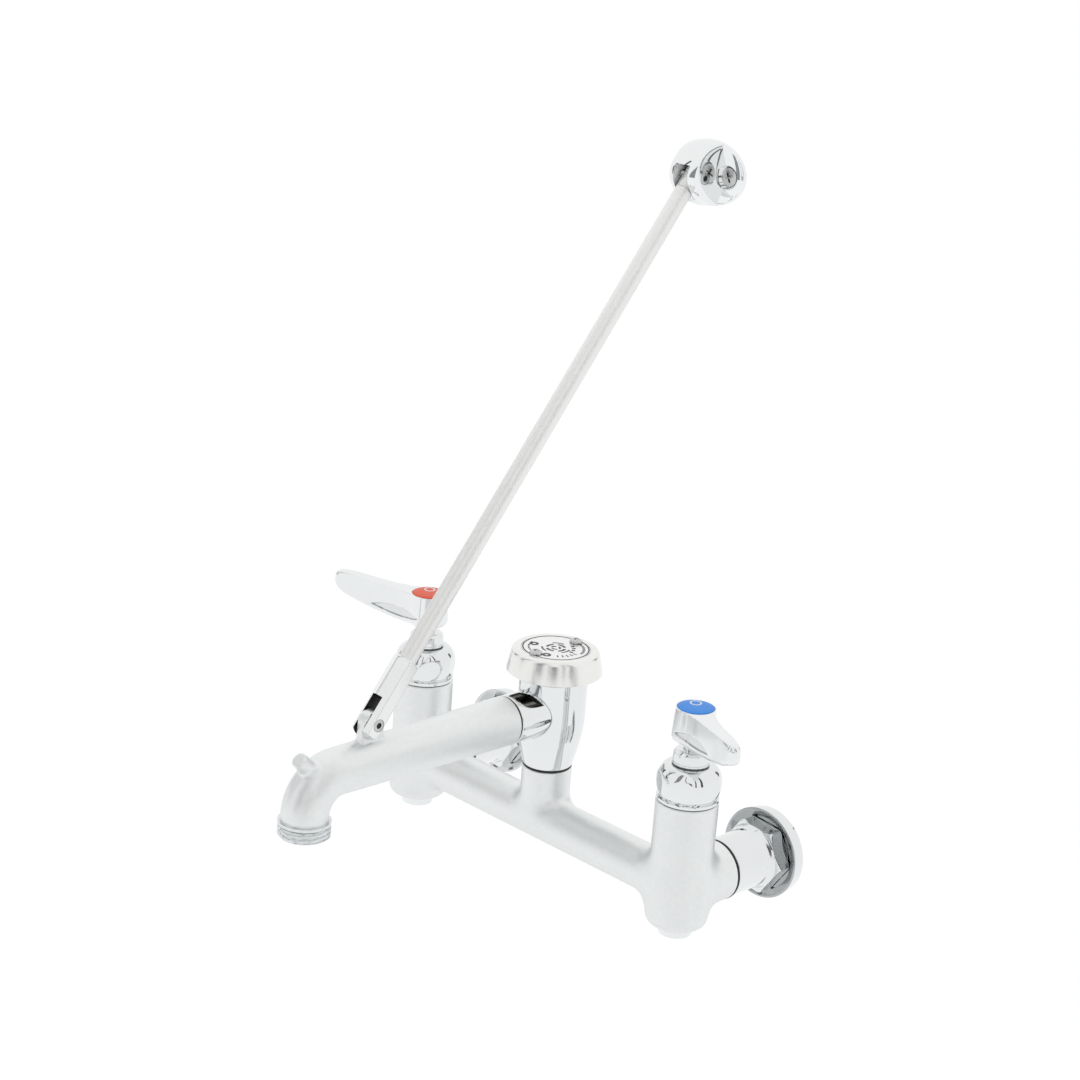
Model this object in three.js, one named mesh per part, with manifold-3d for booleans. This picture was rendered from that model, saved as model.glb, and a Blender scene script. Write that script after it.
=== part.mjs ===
// Wall-mounted service sink faucet: two-valve body on eight-inch centres, vacuum breaker,
// hose-thread spout with a pail hook, and a hinged support rod up to a wall bracket.
// Millimetres, +Z up. The wall is the plane Y = 0 and the faucet stands out towards -Y.
// The origin is midway between the two inlets, on the wall.
import * as THREE from 'three';
import { mergeVertices } from 'three/addons/utils/BufferGeometryUtils.js';
import Module from 'manifold-3d';

const wasm = await Module();
wasm.setup();

// ---------------------------------------------------------------- driving dimensions

// Setting out
const INLET_CENTRES = 203.2;
const VALVE_TO_WALL = 70.8;

// Gaps between pieces
const SEAT_GAP = 0.1;
const THREAD_GAP = 0.2;
const RUNNING_GAP = 0.06;

// Body casting, outside
const BARREL_R = 16.4;
const BARREL_TOP = 47.7;
const BARREL_BOTTOM = -22.2;
const BARREL_FOOT_ROUND = 5;
const RIM_CHAMFER = 0.6;
const CROSS_TUBE_R = 12.4;
const CROSS_FILLET = 9;
const FILLET_START = 0.95;
const FILLET_BELOW = 0.6;
const FILLET_BESIDE = 0.08;
const BOSS_R = 13.5;
const BOSS_TOP = 31;
const BOSS_FILLET = 6.5;
const REAR_ARM_R = 16.2;
const REAR_ARM_TO_WALL = 42.6;
const REAR_FILLET = 5;

// Body casting, waterways
const VALVE_BORE_R = 11.6;
const BONNET_THREAD_R = 13.9;
const BONNET_THREAD_DEPTH = 12;
const SEAT_BOTTOM = 7;
const SEAT_TOP = 10;
const SEAT_HOLE_R = 4.5;
const CHAMBER_R = 8;
const CHAMBER_BOTTOM = -10;
const STOP_THREAD_R = 6.8;
const ARM_THREAD_R = 12;
const ARM_THREAD_DEPTH = 12;
const ARM_WAY_R = 6.4;
const CROSS_WAY_R = 6.5;
const FEED_R = 4.6;
const FEED_RUN = 20;
const FEED_INSET = 6;
const FEED_RISE = 15;
const BOSS_THREAD_R = 11.4;
const BOSS_THREAD_DEPTH = 15;
const BOSS_WAY_R = 8;

// Inlet couplings and wall flanges
const FLANGE_R = 25;
const FLANGE_BACK_R = 24.2;
const FLANGE_RIM = 7.8;
const FLANGE_EDGE = 0.8;
const FLANGE_DISH_DEPTH = 2.6;
const FLANGE_DISH_R = 19.6;
const COLLAR_R = 17;
const COUPLING_R = 16;
const HEX_FLATS = 35;
const HEX_FROM_WALL = 6;
const HEX_LENGTH = 9;
const HEX_TURN = 25;
const COUPLING_NECK = 3.5;
const INLET_THREAD_R = 10.4;
const INLET_THREAD_DEPTH = 19;
const INLET_THREAD_END = 2;
const ARM_RING_WIDTH = 1.2;

// Integral stops under the barrels
const STOP_HEAD_R = 8.9;
const STOP_HEAD_HEIGHT = 5.4;
const STOP_SPINDLE_R = 3.2;
const STOP_DISC_R = 6.2;
const STOP_DISC_HEIGHT = 2.5;
const STOP_OPENING = 6;
const STOP_SLOT_WIDTH = 1.4;
const STOP_SLOT_DEPTH = 1.6;
const STOP_POCKET_R = 5.2;
const STOP_POCKET_DEPTH = 3;

// Cartridges
const SEAT_SEAL_HEIGHT = 2.8;
const CARTRIDGE_R = 11.2;
const CARTRIDGE_FLANGE_R = 13.3;
const CARTRIDGE_FLANGE = 2.2;
const CARTRIDGE_NECK_R = 8.4;
const CARTRIDGE_NECK = 8;
const DISC_R = 7.8;
const DISC_THICK = 3;
const DISC_PORT_R = 2.3;
const DISC_PORT_AT = 4.2;
const WINDOW_HEIGHT = 7;
const WINDOW_WIDTH = 8;
const STEM_R = 4.5;
const STEM_SQUARE = 6.2;
const STEM_SQUARE_LENGTH = 9;

// Bonnets and packing nuts
const BONNET_SEAL_R = 15.2;
const BONNET_SEAL = 0.9;
const BONNET_BALL_R = 17;
const BONNET_BALL_AT = 9.5;
const BONNET_LIP_R = 16.3;
const BONNET_LIP = 1.2;
const BONNET_GROOVE_R = 14.9;
const BONNET_GROOVE = 1;
const BONNET_TOP_R = 10.9;
const BONNET_HEIGHT = 19;
const BONNET_FLATS = 32;
const BONNET_BORE_R = 8.8;
const PACKING_THREAD_R = 7.6;
const PACKING_THREAD_DEPTH = 6;
const PACKING_LEDGE = 2;
const PACKING_SEAL = 1.2;
const PACKING_SEAL_R = 9.9;
const PACKING_NUT_R = 10;
const PACKING_NUT_TOP_R = 9.3;
const PACKING_NUT_HEIGHT = 6.8;
const PACKING_NUT_BEVEL = 1.4;

// Lever handles
const HANDLE_CLEARANCE = 5;
const HUB_R = 11.3;
const HUB_TOP_R = 10.4;
const HUB_HEIGHT = 16.6;
const HUB_ROUND = 2.4;
const HUB_POCKET_R = 7.4;
const HUB_POCKET_DEPTH = 2.4;
const LEVER_LENGTH = 59;
const LEVER_RISE = 4.2;
const LEVER_NOSE = 4;
const LEVER_TIP_HALF = 3.5;
const LEVER_WAIST_HALF = 4.4;
const LEVER_BELLY = 6.6;
const LEVER_DRAFT = 0.07;
const SCALLOP_DEPTH = 1.3;
const SCALLOP_START = 1;
const SCALLOP_LENGTH = 33;
const SCALLOP_LIFT = 5;
const SCALLOP_RISE = 1.2;
const SCALLOP_BULGE = 5.4;
const COLD_LEVER_ANGLE = -28.3;
const HOT_LEVER_ANGLE = -157.5;
const CAP_R = 9.5;
const CAP_RECESS = 2;
const CAP_PROUD = 0.4;
const CAP_EDGE = 0.5;
const CAP_DOME = 0.6;
const HANDLE_SCREW_R = 2;
const HANDLE_SCREW_HEAD_R = 4.2;
const HANDLE_SCREW_HEAD = 2.2;
const HANDLE_SCREW_LENGTH = 12;

// Vacuum breaker
const BREAKER_RING = 1.1;
const BREAKER_BASE_R = 13.5;
const BREAKER_BELL_R = 18.6;
const BELL_FULL_AT = 0.6;
const BELL_STEPS = 6;
const BREAKER_TOP = 83;
const BREAKER_WAY_R = 7.5;
const BREAKER_SEAT = 52;
const BREAKER_CHAMBER_R = 15;
const OUTLET_BOSS_R = 13.2;
const OUTLET_THREAD_R = 10.4;
const OUTLET_THREAD_DEPTH = 12;
const OUTLET_WAY_R = 8;
const VENT_SEAT = 73;
const VENT_FLANGE_R = 17.6;
const VENT_FLANGE = 2.8;
const VENT_COUNT = 6;
const VENT_R = 2.1;
const VENT_AT = 9;
const GUIDE_R = 4.6;
const GUIDE_TOP = 90;
const POST_R = 2.6;
const FLOAT_R = 12.4;
const FLOAT_DISC = 3.6;
const FLOAT_STEM_R = 2.5;
const FLOAT_STEM = 23;
const FLOAT_SEAL = 2;
const HOOD_RIM_R = 25.9;
const HOOD_RIM_Z = 85.6;
const HOOD_SHOULDER_R = 24.2;
const HOOD_SHOULDER_DROP = 4.2;
const HOOD_TOP = 98.2;
const HOOD_WALL = 1.2;
const PLATE_R = 18.5;
const PLATE_THICK = 0.8;
const HOOD_SCREW_AT = 15;
const HOOD_SCREW_R = 1.5;
const HOOD_SCREW_HEAD_R = 3.1;
const HOOD_SCREW_HEAD = 1.9;
const HOOD_SCREW_LENGTH = 10;

// Spout
const SPOUT_Z = 64.4;
const SPOUT_ROOT = 105.7;
const SPOUT_ROOT_R = 13.3;
const SPOUT_R = 12.1;
const SPOUT_BEND_R = 19;
const SPOUT_BEND_STEPS = 6;
const OUTLET_REACH = 239.8;
const OUTLET_Z = 34.5;
const SPOUT_BORE_R = 9;
const SPOUT_TAIL_BORE_R = 7.5;
const HOSE_THREAD_R = 13.5;
const HOSE_THREAD_LENGTH = 13;
const HOSE_CHAMFER = 1;
const HORN_ANGLE = 45;
const HORN_BEND = 30.4;
const HORN_ROOT_R = 5.3;
const HORN_R = 4.5;
const HORN_TIP_R = 3.7;
const HORN_REACH = 20.8;

// Support rod
const LOWER_PIVOT_Y = -199.6;
const LOWER_PIVOT_Z = 85.9;
const ROD_ANGLE = 38.06;
const PIVOT_SPACING = 330.8;
const LUG_THICK = 6.3;
const LUG_R = 6.35;
const LUG_BASE_HALF = 7.6;
const LUG_FOOT = 13;
const CLEVIS_FLATS = 12.7;
const CLEVIS_ABOVE = 35.8;
const CLEVIS_BELOW = 8.8;
const CLEVIS_SWING_R = 9.3;
const CLEVIS_SLOT_ABOVE = 13;
const FORK_GAP = 0.3;
const PIVOT_R = 2.4;
const PIVOT_HEAD_R = 3.2;
const PIVOT_HEAD = 1.7;
const SOCKET_FLATS = 3.2;
const SOCKET_DEPTH = 1.3;
const ROD_R = 4.75;
const ROD_WALL = 1.2;
const ROD_IN_CLEVIS = 14;
const ROD_END_LENGTH = 9;
const ROD_END_SPIGOT = 14;

// Wall bracket
const BRACKET_HALF_WIDTH = 25;
const BRACKET_HALF_HEIGHT = 17.5;
const BRACKET_RIM = 2.4;
const BRACKET_DOME = 23.4;
const BRACKET_PLATE_DOME = 5.5;
const BRACKET_DOME_STEPS = 6;
const BRACKET_BACK = 15;
const BRACKET_LIFT = 0.9;
const BRACKET_POWER = 1.3;
const BRACKET_SLOT = 10.2;
const BRACKET_SLOT_TOP = 6.6;
const BRACKET_SLOT_BACK = 6.5;
const CHEEK_HALF = 9;
const POCKET_R = 6.4;
const WALL_SCREW_X = 15.7;
const PLATE_FLOOR = 4;
const WALL_SCREW_R = 2.4;
const WALL_SCREW_HEAD_R = 5.1;
const WALL_SCREW_HEAD = 2.4;

// Faces round a full circle, on large, middling and small rounds, and steps along an arc
const FINE = 20;
const MEDIUM = 12;
const COARSE = 8;
const ARC_STEPS = 3;

// ---------------------------------------------------------------- derived places

const HALF = INLET_CENTRES / 2;
const LEDGE_Z = BARREL_TOP - BONNET_THREAD_DEPTH;
const BONNET_Z = BARREL_TOP + 2 * SEAT_GAP + BONNET_SEAL;
const BONNET_TOP = BONNET_Z + BONNET_HEIGHT;
const NUT_Z = BONNET_TOP + PACKING_SEAL;
const NUT_TOP = NUT_Z + PACKING_NUT_HEIGHT;
const HUB_Z = NUT_TOP + HANDLE_CLEARANCE;
const HUB_TOP = HUB_Z + HUB_HEIGHT;
const SQUARE_Z = HUB_Z + HUB_POCKET_DEPTH;
const SQUARE_TOP = SQUARE_Z + STEM_SQUARE_LENGTH;
const BREAKER_Z = BOSS_TOP + BREAKER_RING + 2 * SEAT_GAP;
const OUTLET_FACE = SPOUT_ROOT - BREAKER_RING - 2 * SEAT_GAP;
const BEND_Y = SPOUT_BEND_R - OUTLET_REACH;
const FORK_SLOT = LUG_THICK + 2 * FORK_GAP;
const PANEL_TOP = HOOD_TOP - PLATE_THICK - SEAT_GAP;

// ---------------------------------------------------------------- shaping

const radians = THREE.MathUtils.degToRad;

function weld(geometry) {
  const bare = geometry.clone();
  bare.deleteAttribute('normal');
  bare.deleteAttribute('uv');
  const welded = mergeVertices(bare, 1e-4);
  const corners = welded.index.array;
  const kept = [];
  for (let i = 0; i < corners.length; i += 3) {
    const [a, b, c] = [corners[i], corners[i + 1], corners[i + 2]];
    if (a !== b && b !== c && c !== a) kept.push(a, b, c);
  }
  welded.setIndex(kept);
  return welded;
}

function signedVolume(geometry) {
  const at = geometry.attributes.position;
  const corners = geometry.index.array;
  const [a, b, c] = [new THREE.Vector3(), new THREE.Vector3(), new THREE.Vector3()];
  let volume = 0;
  for (let i = 0; i < corners.length; i += 3) {
    a.fromBufferAttribute(at, corners[i]);
    b.fromBufferAttribute(at, corners[i + 1]);
    c.fromBufferAttribute(at, corners[i + 2]);
    volume += a.dot(b.cross(c)) / 6;
  }
  return volume;
}

function toSolid(geometry) {
  const welded = weld(geometry);
  const corners = Uint32Array.from(welded.index.array);
  if (signedVolume(welded) < 0) corners.reverse();
  const vertices = Float32Array.from(welded.attributes.position.array);
  return new wasm.Manifold(new wasm.Mesh({ numProp: 3, vertProperties: vertices, triVerts: corners }));
}

function toGeometry(solid) {
  const mesh = solid.getMesh();
  const geometry = new THREE.BufferGeometry();
  geometry.setAttribute('position', new THREE.BufferAttribute(mesh.vertProperties, 3));
  geometry.setIndex(new THREE.BufferAttribute(mesh.triVerts, 1));
  return geometry;
}

function join(first, ...others) {
  return toGeometry(others.reduce((sum, other) => sum.add(toSolid(other)), toSolid(first)));
}

function cut(first, ...others) {
  return toGeometry(others.reduce((rest, other) => rest.subtract(toSolid(other)), toSolid(first)));
}

function meet(first, second) {
  return toGeometry(toSolid(first).intersect(toSolid(second)));
}

// A profile of [radius, height] pairs turned about the Z axis.
function turned(profile, sides = MEDIUM) {
  const points = profile.map(([radius, height]) => new THREE.Vector2(radius, height));
  return new THREE.LatheGeometry(points, sides).rotateX(Math.PI / 2);
}

function cylinder(radius, low, high, sides = MEDIUM) {
  return turned([[0, low], [radius, low], [radius, high], [0, high]], sides);
}

// The radius of a faceted bore whose flats just clear a round of the given radius.
function clearing(radius, sides = MEDIUM) {
  return radius / Math.cos(Math.PI / sides);
}

function ring(outer, inner, low, high, sides = MEDIUM) {
  return turned([[inner, low], [outer, low], [outer, high], [inner, high], [inner, low]], sides);
}

function box(low, high) {
  const size = high.map((value, axis) => value - low[axis]);
  const middle = high.map((value, axis) => (value + low[axis]) / 2);
  return new THREE.BoxGeometry(...size).translate(...middle);
}

function hexagon(flats, low, high) {
  const prism = new THREE.CylinderGeometry(flats / Math.sqrt(3), flats / Math.sqrt(3), high - low, 6);
  return prism.rotateX(Math.PI / 2).translate(0, 0, (low + high) / 2);
}

// Points of an arc in a profile, from one angle to another in degrees.
function arc(centre, radius, from, to, steps = ARC_STEPS) {
  const points = [];
  for (let i = 0; i <= steps; i += 1) {
    const angle = radians(from + (to - from) * i / steps);
    points.push([centre[0] + radius * Math.cos(angle), centre[1] + radius * Math.sin(angle)]);
  }
  return points;
}

// An outline in the plane of two axes, thickened along the third about the middle.
function slab(outline, thickness) {
  const slices = { depth: thickness, bevelEnabled: false, curveSegments: 5 };
  return new THREE.ExtrudeGeometry(outline, slices).translate(0, 0, -thickness / 2);
}

const towardsWall = (geometry) => geometry.rotateX(-Math.PI / 2);
const awayFromWall = (geometry) => geometry.rotateX(Math.PI / 2);
const alongX = (geometry) => geometry.rotateY(Math.PI / 2);
// A slab drawn in (Y, Z) stands upright, with its thickness along X.
const standing = (geometry) => geometry.rotateY(Math.PI / 2).rotateX(Math.PI / 2);

// Rings of points, one after another, skinned and capped.
function loft(rings) {
  const sides = rings[0].length;
  const positions = rings.flat().flatMap((point) => point.toArray());
  const corners = [];
  for (let ringIndex = 0; ringIndex < rings.length - 1; ringIndex += 1) {
    for (let side = 0; side < sides; side += 1) {
      const a = ringIndex * sides + side;
      const b = ringIndex * sides + (side + 1) % sides;
      corners.push(a, b, b + sides, a, b + sides, a + sides);
    }
  }
  const last = (rings.length - 1) * sides;
  for (let side = 1; side < sides - 1; side += 1) {
    corners.push(0, side + 1, side);
    corners.push(last, last + side, last + side + 1);
  }
  const geometry = new THREE.BufferGeometry();
  geometry.setAttribute('position', new THREE.Float32BufferAttribute(positions, 3));
  geometry.setIndex(corners);
  return geometry;
}

// ---------------------------------------------------------------- finishes

function finish(color, roughness, metalness) {
  return new THREE.MeshStandardMaterial({ color, roughness, metalness });
}

const roughChrome = () => finish(0xc9ced1, 0.38, 1);
const polishedChrome = () => finish(0xdfe3e5, 0.08, 1);
const satinNickel = () => finish(0xcfc8ba, 0.24, 1);
const satinSteel = () => finish(0xc6c2b8, 0.3, 1);
const brass = () => finish(0xb08d4a, 0.35, 1);
const ceramic = () => finish(0xf1efe9, 0.25, 0);
const blackRubber = () => finish(0x141414, 0.6, 0);
const whitePlastic = () => finish(0xe4e1d8, 0.45, 0);
const redEnamel = () => finish(0xe0492c, 0.2, 0);
const blueEnamel = () => finish(0x1d56c4, 0.2, 0);

const faucet = new THREE.Group();

function place(parent, name, geometry, material) {
  const mesh = new THREE.Mesh(geometry, material);
  mesh.name = name;
  parent.add(mesh);
}

// ---------------------------------------------------------------- body casting

// How much a tube along X swells at x into the fillet round a post that stands at X = at.
function filletHeight(x, at, postRadius, fillet) {
  const run = Math.abs(x - at) - FILLET_START * postRadius;
  if (run >= fillet) return 0;
  const short = Math.min(fillet - run, fillet);
  return fillet - Math.sqrt(fillet * fillet - short * short);
}

// Below the tube the fillets are shallower, and sideways they stay within the posts.
function crossTube() {
  const posts = [
    { at: -HALF, radius: BARREL_R, fillet: CROSS_FILLET },
    { at: 0, radius: BOSS_R, fillet: BOSS_FILLET },
    { at: HALF, radius: BARREL_R, fillet: CROSS_FILLET },
  ];
  const swell = (x) => Math.max(...posts.map((post) => filletHeight(x, post.at, post.radius, post.fillet)));
  const stations = new Set([-HALF, HALF]);
  for (const { at, radius, fillet } of posts) {
    for (const direction of [-1, 1]) {
      for (let step = 0; step <= ARC_STEPS; step += 1) {
        const x = at + direction * (FILLET_START * radius + fillet * step / ARC_STEPS);
        if (Math.abs(x) < HALF) stations.add(x);
      }
    }
  }
  const along = [...stations].sort((a, b) => a - b);
  const profile = along.map((x) => [CROSS_TUBE_R + swell(x), x]);
  const tube = alongX(turned([[0, -HALF], ...profile, [0, HALF]], FINE));
  const at = tube.attributes.position;
  for (let i = 0; i < at.count; i += 1) {
    const extra = swell(at.getX(i));
    const full = CROSS_TUBE_R + extra;
    const below = CROSS_TUBE_R + FILLET_BELOW * extra;
    const beside = CROSS_TUBE_R + FILLET_BESIDE * extra;
    at.setY(i, at.getY(i) * beside / full);
    if (at.getZ(i) < 0) at.setZ(i, at.getZ(i) * below / full);
  }
  return tube;
}

function barrel() {
  const footCentre = [BARREL_R - BARREL_FOOT_ROUND, BARREL_BOTTOM + BARREL_FOOT_ROUND];
  const foot = arc(footCentre, BARREL_FOOT_ROUND, -90, 0);
  return turned([
    [0, BARREL_BOTTOM],
    ...foot,
    [BARREL_R, BARREL_TOP - RIM_CHAMFER],
    [BARREL_R - RIM_CHAMFER, BARREL_TOP],
    [0, BARREL_TOP],
  ], FINE);
}

function rearArm() {
  const length = VALVE_TO_WALL - REAR_ARM_TO_WALL;
  const start = BARREL_R * 0.9;
  const flare = arc([REAR_ARM_R + REAR_FILLET, start + REAR_FILLET], REAR_FILLET, 260, 180, 2);
  const arm = turned([
    [0, 0],
    [REAR_ARM_R + REAR_FILLET, 0],
    ...flare,
    [REAR_ARM_R, length - RIM_CHAMFER],
    [REAR_ARM_R - RIM_CHAMFER, length],
    [0, length],
  ], FINE);
  const low = [-REAR_ARM_R, -REAR_ARM_R - REAR_FILLET / 2, -1];
  const high = [REAR_ARM_R, REAR_ARM_R + REAR_FILLET, length + 1];
  const within = box(low, high);
  return towardsWall(meet(arm, within));
}

// The bore for the stop, the water chamber, the seat hole, and the bore for the cartridge.
function valveBore() {
  return turned([
    [0, BARREL_BOTTOM - 1],
    [clearing(STOP_THREAD_R), BARREL_BOTTOM - 1],
    [clearing(STOP_THREAD_R), CHAMBER_BOTTOM],
    [CHAMBER_R, CHAMBER_BOTTOM],
    [CHAMBER_R, SEAT_BOTTOM],
    [SEAT_HOLE_R, SEAT_BOTTOM],
    [SEAT_HOLE_R, SEAT_TOP],
    [clearing(VALVE_BORE_R), SEAT_TOP],
    [clearing(VALVE_BORE_R), LEDGE_Z],
    [clearing(BONNET_THREAD_R), LEDGE_Z],
    [clearing(BONNET_THREAD_R), BARREL_TOP + 1],
    [0, BARREL_TOP + 1],
  ], MEDIUM);
}

function inletWay() {
  const length = VALVE_TO_WALL - REAR_ARM_TO_WALL;
  return towardsWall(turned([
    [0, 0],
    [ARM_WAY_R, 0],
    [ARM_WAY_R, length - ARM_THREAD_DEPTH],
    [clearing(ARM_THREAD_R), length - ARM_THREAD_DEPTH],
    [clearing(ARM_THREAD_R), length + 1],
    [0, length + 1],
  ], MEDIUM));
}

// A slanting passage from the cartridge bore down into the waterway of the cross tube.
function feed(side) {
  const length = Math.hypot(FEED_RUN, FEED_RISE);
  const slope = Math.atan2(FEED_RUN, FEED_RISE);
  const foot = HALF - FEED_INSET - FEED_RUN;
  return cylinder(FEED_R, 0, length, COARSE).rotateY(side * slope).translate(side * foot, 0, 0);
}

function bodyCasting() {
  const boss = cylinder(BOSS_R, 0, BOSS_TOP, FINE);
  const arms = [-1, 1].map((side) => rearArm().translate(side * HALF, 0, 0));
  const barrels = [-1, 1].map((side) => barrel().translate(side * HALF, 0, 0));
  const outside = join(crossTube(), boss, ...barrels, ...arms);
  const bossBore = turned([
    [0, 0],
    [BOSS_WAY_R, 0],
    [BOSS_WAY_R, BOSS_TOP - BOSS_THREAD_DEPTH],
    [clearing(BOSS_THREAD_R), BOSS_TOP - BOSS_THREAD_DEPTH],
    [clearing(BOSS_THREAD_R), BOSS_TOP + 1],
    [0, BOSS_TOP + 1],
  ], MEDIUM);
  const wayEnd = HALF - FEED_INSET - FEED_RUN + FEED_R;
  const crossWay = alongX(cylinder(CROSS_WAY_R, -wayEnd, wayEnd, COARSE));
  const bores = [-1, 1].flatMap((side) => [
    valveBore().translate(side * HALF, 0, 0),
    inletWay().translate(side * HALF, 0, 0),
    feed(side),
  ]);
  return cut(outside, bossBore, crossWay, ...bores).translate(0, -VALVE_TO_WALL, 0);
}

// ---------------------------------------------------------------- inlets

// Built along +Z with the wall at 0, then laid down so that the wall side is Y = 0.
function wallFlange() {
  const inner = COLLAR_R + THREAD_GAP;
  const floor = FLANGE_RIM - FLANGE_DISH_DEPTH;
  return turned([
    [inner, 0],
    [FLANGE_BACK_R, 0],
    ...arc([FLANGE_R - FLANGE_EDGE, FLANGE_RIM - FLANGE_EDGE], FLANGE_EDGE, 0, 90, 2),
    [FLANGE_DISH_R + FLANGE_EDGE, floor + FLANGE_EDGE],
    [FLANGE_DISH_R, floor],
    [inner, floor],
    [inner, 0],
  ], FINE);
}

function coupling() {
  const hexTop = HEX_FROM_WALL + HEX_LENGTH;
  const shoulder = REAR_ARM_TO_WALL - ARM_RING_WIDTH - 2 * SEAT_GAP;
  const spigotTop = shoulder + ARM_THREAD_DEPTH;
  const hex = hexagon(HEX_FLATS, HEX_FROM_WALL, hexTop).rotateZ(radians(HEX_TURN));
  const barrelPart = turned([
    [0, SEAT_GAP],
    [COLLAR_R - RIM_CHAMFER, SEAT_GAP],
    [COLLAR_R, SEAT_GAP + RIM_CHAMFER],
    [COLLAR_R, hexTop],
    ...arc([COUPLING_R + COUPLING_NECK, hexTop + COUPLING_NECK], COUPLING_NECK, 230, 180, 2),
    [COUPLING_R, shoulder - RIM_CHAMFER],
    [COUPLING_R - RIM_CHAMFER, shoulder],
    [ARM_THREAD_R - THREAD_GAP, shoulder],
    [ARM_THREAD_R - THREAD_GAP, spigotTop],
    [0, spigotTop],
  ], FINE);
  const way = turned([
    [0, -1],
    [INLET_THREAD_R, -1],
    [INLET_THREAD_R, INLET_THREAD_DEPTH],
    [ARM_WAY_R, INLET_THREAD_DEPTH + INLET_THREAD_END],
    [ARM_WAY_R, spigotTop + 1],
    [0, spigotTop + 1],
  ], MEDIUM);
  return cut(join(barrelPart, hex), way);
}

function armRing() {
  const low = REAR_ARM_TO_WALL - ARM_RING_WIDTH - SEAT_GAP;
  return ring(COUPLING_R + 0.3, clearing(ARM_THREAD_R), low, low + ARM_RING_WIDTH);
}

// ---------------------------------------------------------------- stops

function stopBonnet() {
  const top = BARREL_BOTTOM - SEAT_GAP;
  const bottom = top - STOP_HEAD_HEIGHT;
  return turned([
    [STOP_POCKET_R, bottom],
    [STOP_HEAD_R - 1, bottom],
    [STOP_HEAD_R, bottom + 1],
    [STOP_HEAD_R, top],
    [STOP_THREAD_R - THREAD_GAP, top],
    [STOP_THREAD_R - THREAD_GAP, CHAMBER_BOTTOM],
    [clearing(STOP_SPINDLE_R + RUNNING_GAP), CHAMBER_BOTTOM],
    [clearing(STOP_SPINDLE_R + RUNNING_GAP), bottom + STOP_POCKET_DEPTH],
    [STOP_POCKET_R, bottom + STOP_POCKET_DEPTH],
    [STOP_POCKET_R, bottom],
  ], MEDIUM);
}

function stopSpindle() {
  const tip = BARREL_BOTTOM - STOP_HEAD_HEIGHT + 1;
  const discTop = SEAT_BOTTOM - STOP_OPENING;
  const spindle = turned([
    [0, tip],
    [STOP_SPINDLE_R, tip],
    [STOP_SPINDLE_R, discTop - STOP_DISC_HEIGHT],
    [STOP_DISC_R, discTop - STOP_DISC_HEIGHT],
    [STOP_DISC_R, discTop - 1],
    [SEAT_HOLE_R - 0.5, discTop],
    [0, discTop],
  ], MEDIUM);
  const half = STOP_SLOT_WIDTH / 2;
  const slot = box([-STOP_DISC_R, -half, tip - 1], [STOP_DISC_R, half, tip + STOP_SLOT_DEPTH]);
  return cut(spindle, slot);
}

// ---------------------------------------------------------------- cartridges

const SEAL_TOP = SEAT_TOP + SEAT_GAP + SEAT_SEAL_HEIGHT;
const FIXED_DISC_Z = SEAL_TOP + SEAT_GAP;
const TURNING_DISC_Z = FIXED_DISC_Z + DISC_THICK + SEAT_GAP;
const STEM_PLATE_Z = TURNING_DISC_Z + DISC_THICK + SEAT_GAP;
const STEM_PLATE_TOP = STEM_PLATE_Z + DISC_THICK;

function seatSeal() {
  return ring(CARTRIDGE_R - 1, SEAT_HOLE_R + 0.5, SEAT_TOP + SEAT_GAP, SEAL_TOP, MEDIUM);
}

function cartridgeHousing() {
  const bore = clearing(DISC_R + RUNNING_GAP);
  const guide = clearing(STEM_R + RUNNING_GAP);
  const flangeTop = LEDGE_Z + SEAT_GAP + CARTRIDGE_FLANGE;
  const shell = turned([
    [bore, FIXED_DISC_Z],
    [CARTRIDGE_R, FIXED_DISC_Z],
    [CARTRIDGE_R, LEDGE_Z + SEAT_GAP],
    [CARTRIDGE_FLANGE_R, LEDGE_Z + SEAT_GAP],
    [CARTRIDGE_FLANGE_R, flangeTop],
    [CARTRIDGE_NECK_R, flangeTop],
    [CARTRIDGE_NECK_R, flangeTop + CARTRIDGE_NECK],
    [guide, flangeTop + CARTRIDGE_NECK],
    [guide, STEM_PLATE_TOP + WINDOW_HEIGHT],
    [bore, STEM_PLATE_TOP + WINDOW_HEIGHT - 2],
    [bore, FIXED_DISC_Z],
  ], MEDIUM);
  const half = WINDOW_WIDTH / 2;
  const low = STEM_PLATE_Z - WINDOW_HEIGHT / 2;
  const windows = box([-CARTRIDGE_R - 1, -half, low], [CARTRIDGE_R + 1, half, low + WINDOW_HEIGHT]);
  return cut(shell, windows);
}

// The two discs have the same pair of ports: lined up they pass water, a quarter turn shuts them.
function ceramicDisc(low) {
  const ports = [-1, 1].map((side) => {
    const port = cylinder(DISC_PORT_R, low - 1, low + DISC_THICK + 1, 8);
    return port.translate(side * DISC_PORT_AT, 0, 0);
  });
  return cut(cylinder(DISC_R, low, low + DISC_THICK, MEDIUM), ...ports);
}

function cartridgeStem() {
  const round = turned([
    [0, STEM_PLATE_Z],
    [DISC_R, STEM_PLATE_Z],
    [DISC_R, STEM_PLATE_TOP],
    [STEM_R, STEM_PLATE_TOP],
    [STEM_R, SQUARE_Z - SEAT_GAP],
    [0, SQUARE_Z - SEAT_GAP],
  ], MEDIUM);
  const half = STEM_SQUARE / 2;
  const drive = box([-half, -half, SQUARE_Z - 1], [half, half, SQUARE_TOP - SEAT_GAP]);
  const holeR = clearing(HANDLE_SCREW_R + THREAD_GAP, COARSE);
  const tapped = cylinder(holeR, SQUARE_TOP - HANDLE_SCREW_LENGTH, SQUARE_TOP + 1, COARSE);
  const across = DISC_R + 1;
  const low = [-across, -DISC_PORT_R, STEM_PLATE_Z - 1];
  const high = [across, DISC_PORT_R, STEM_PLATE_Z + 1];
  return cut(join(round, drive), tapped, box(low, high));
}

// ---------------------------------------------------------------- bonnets

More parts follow.
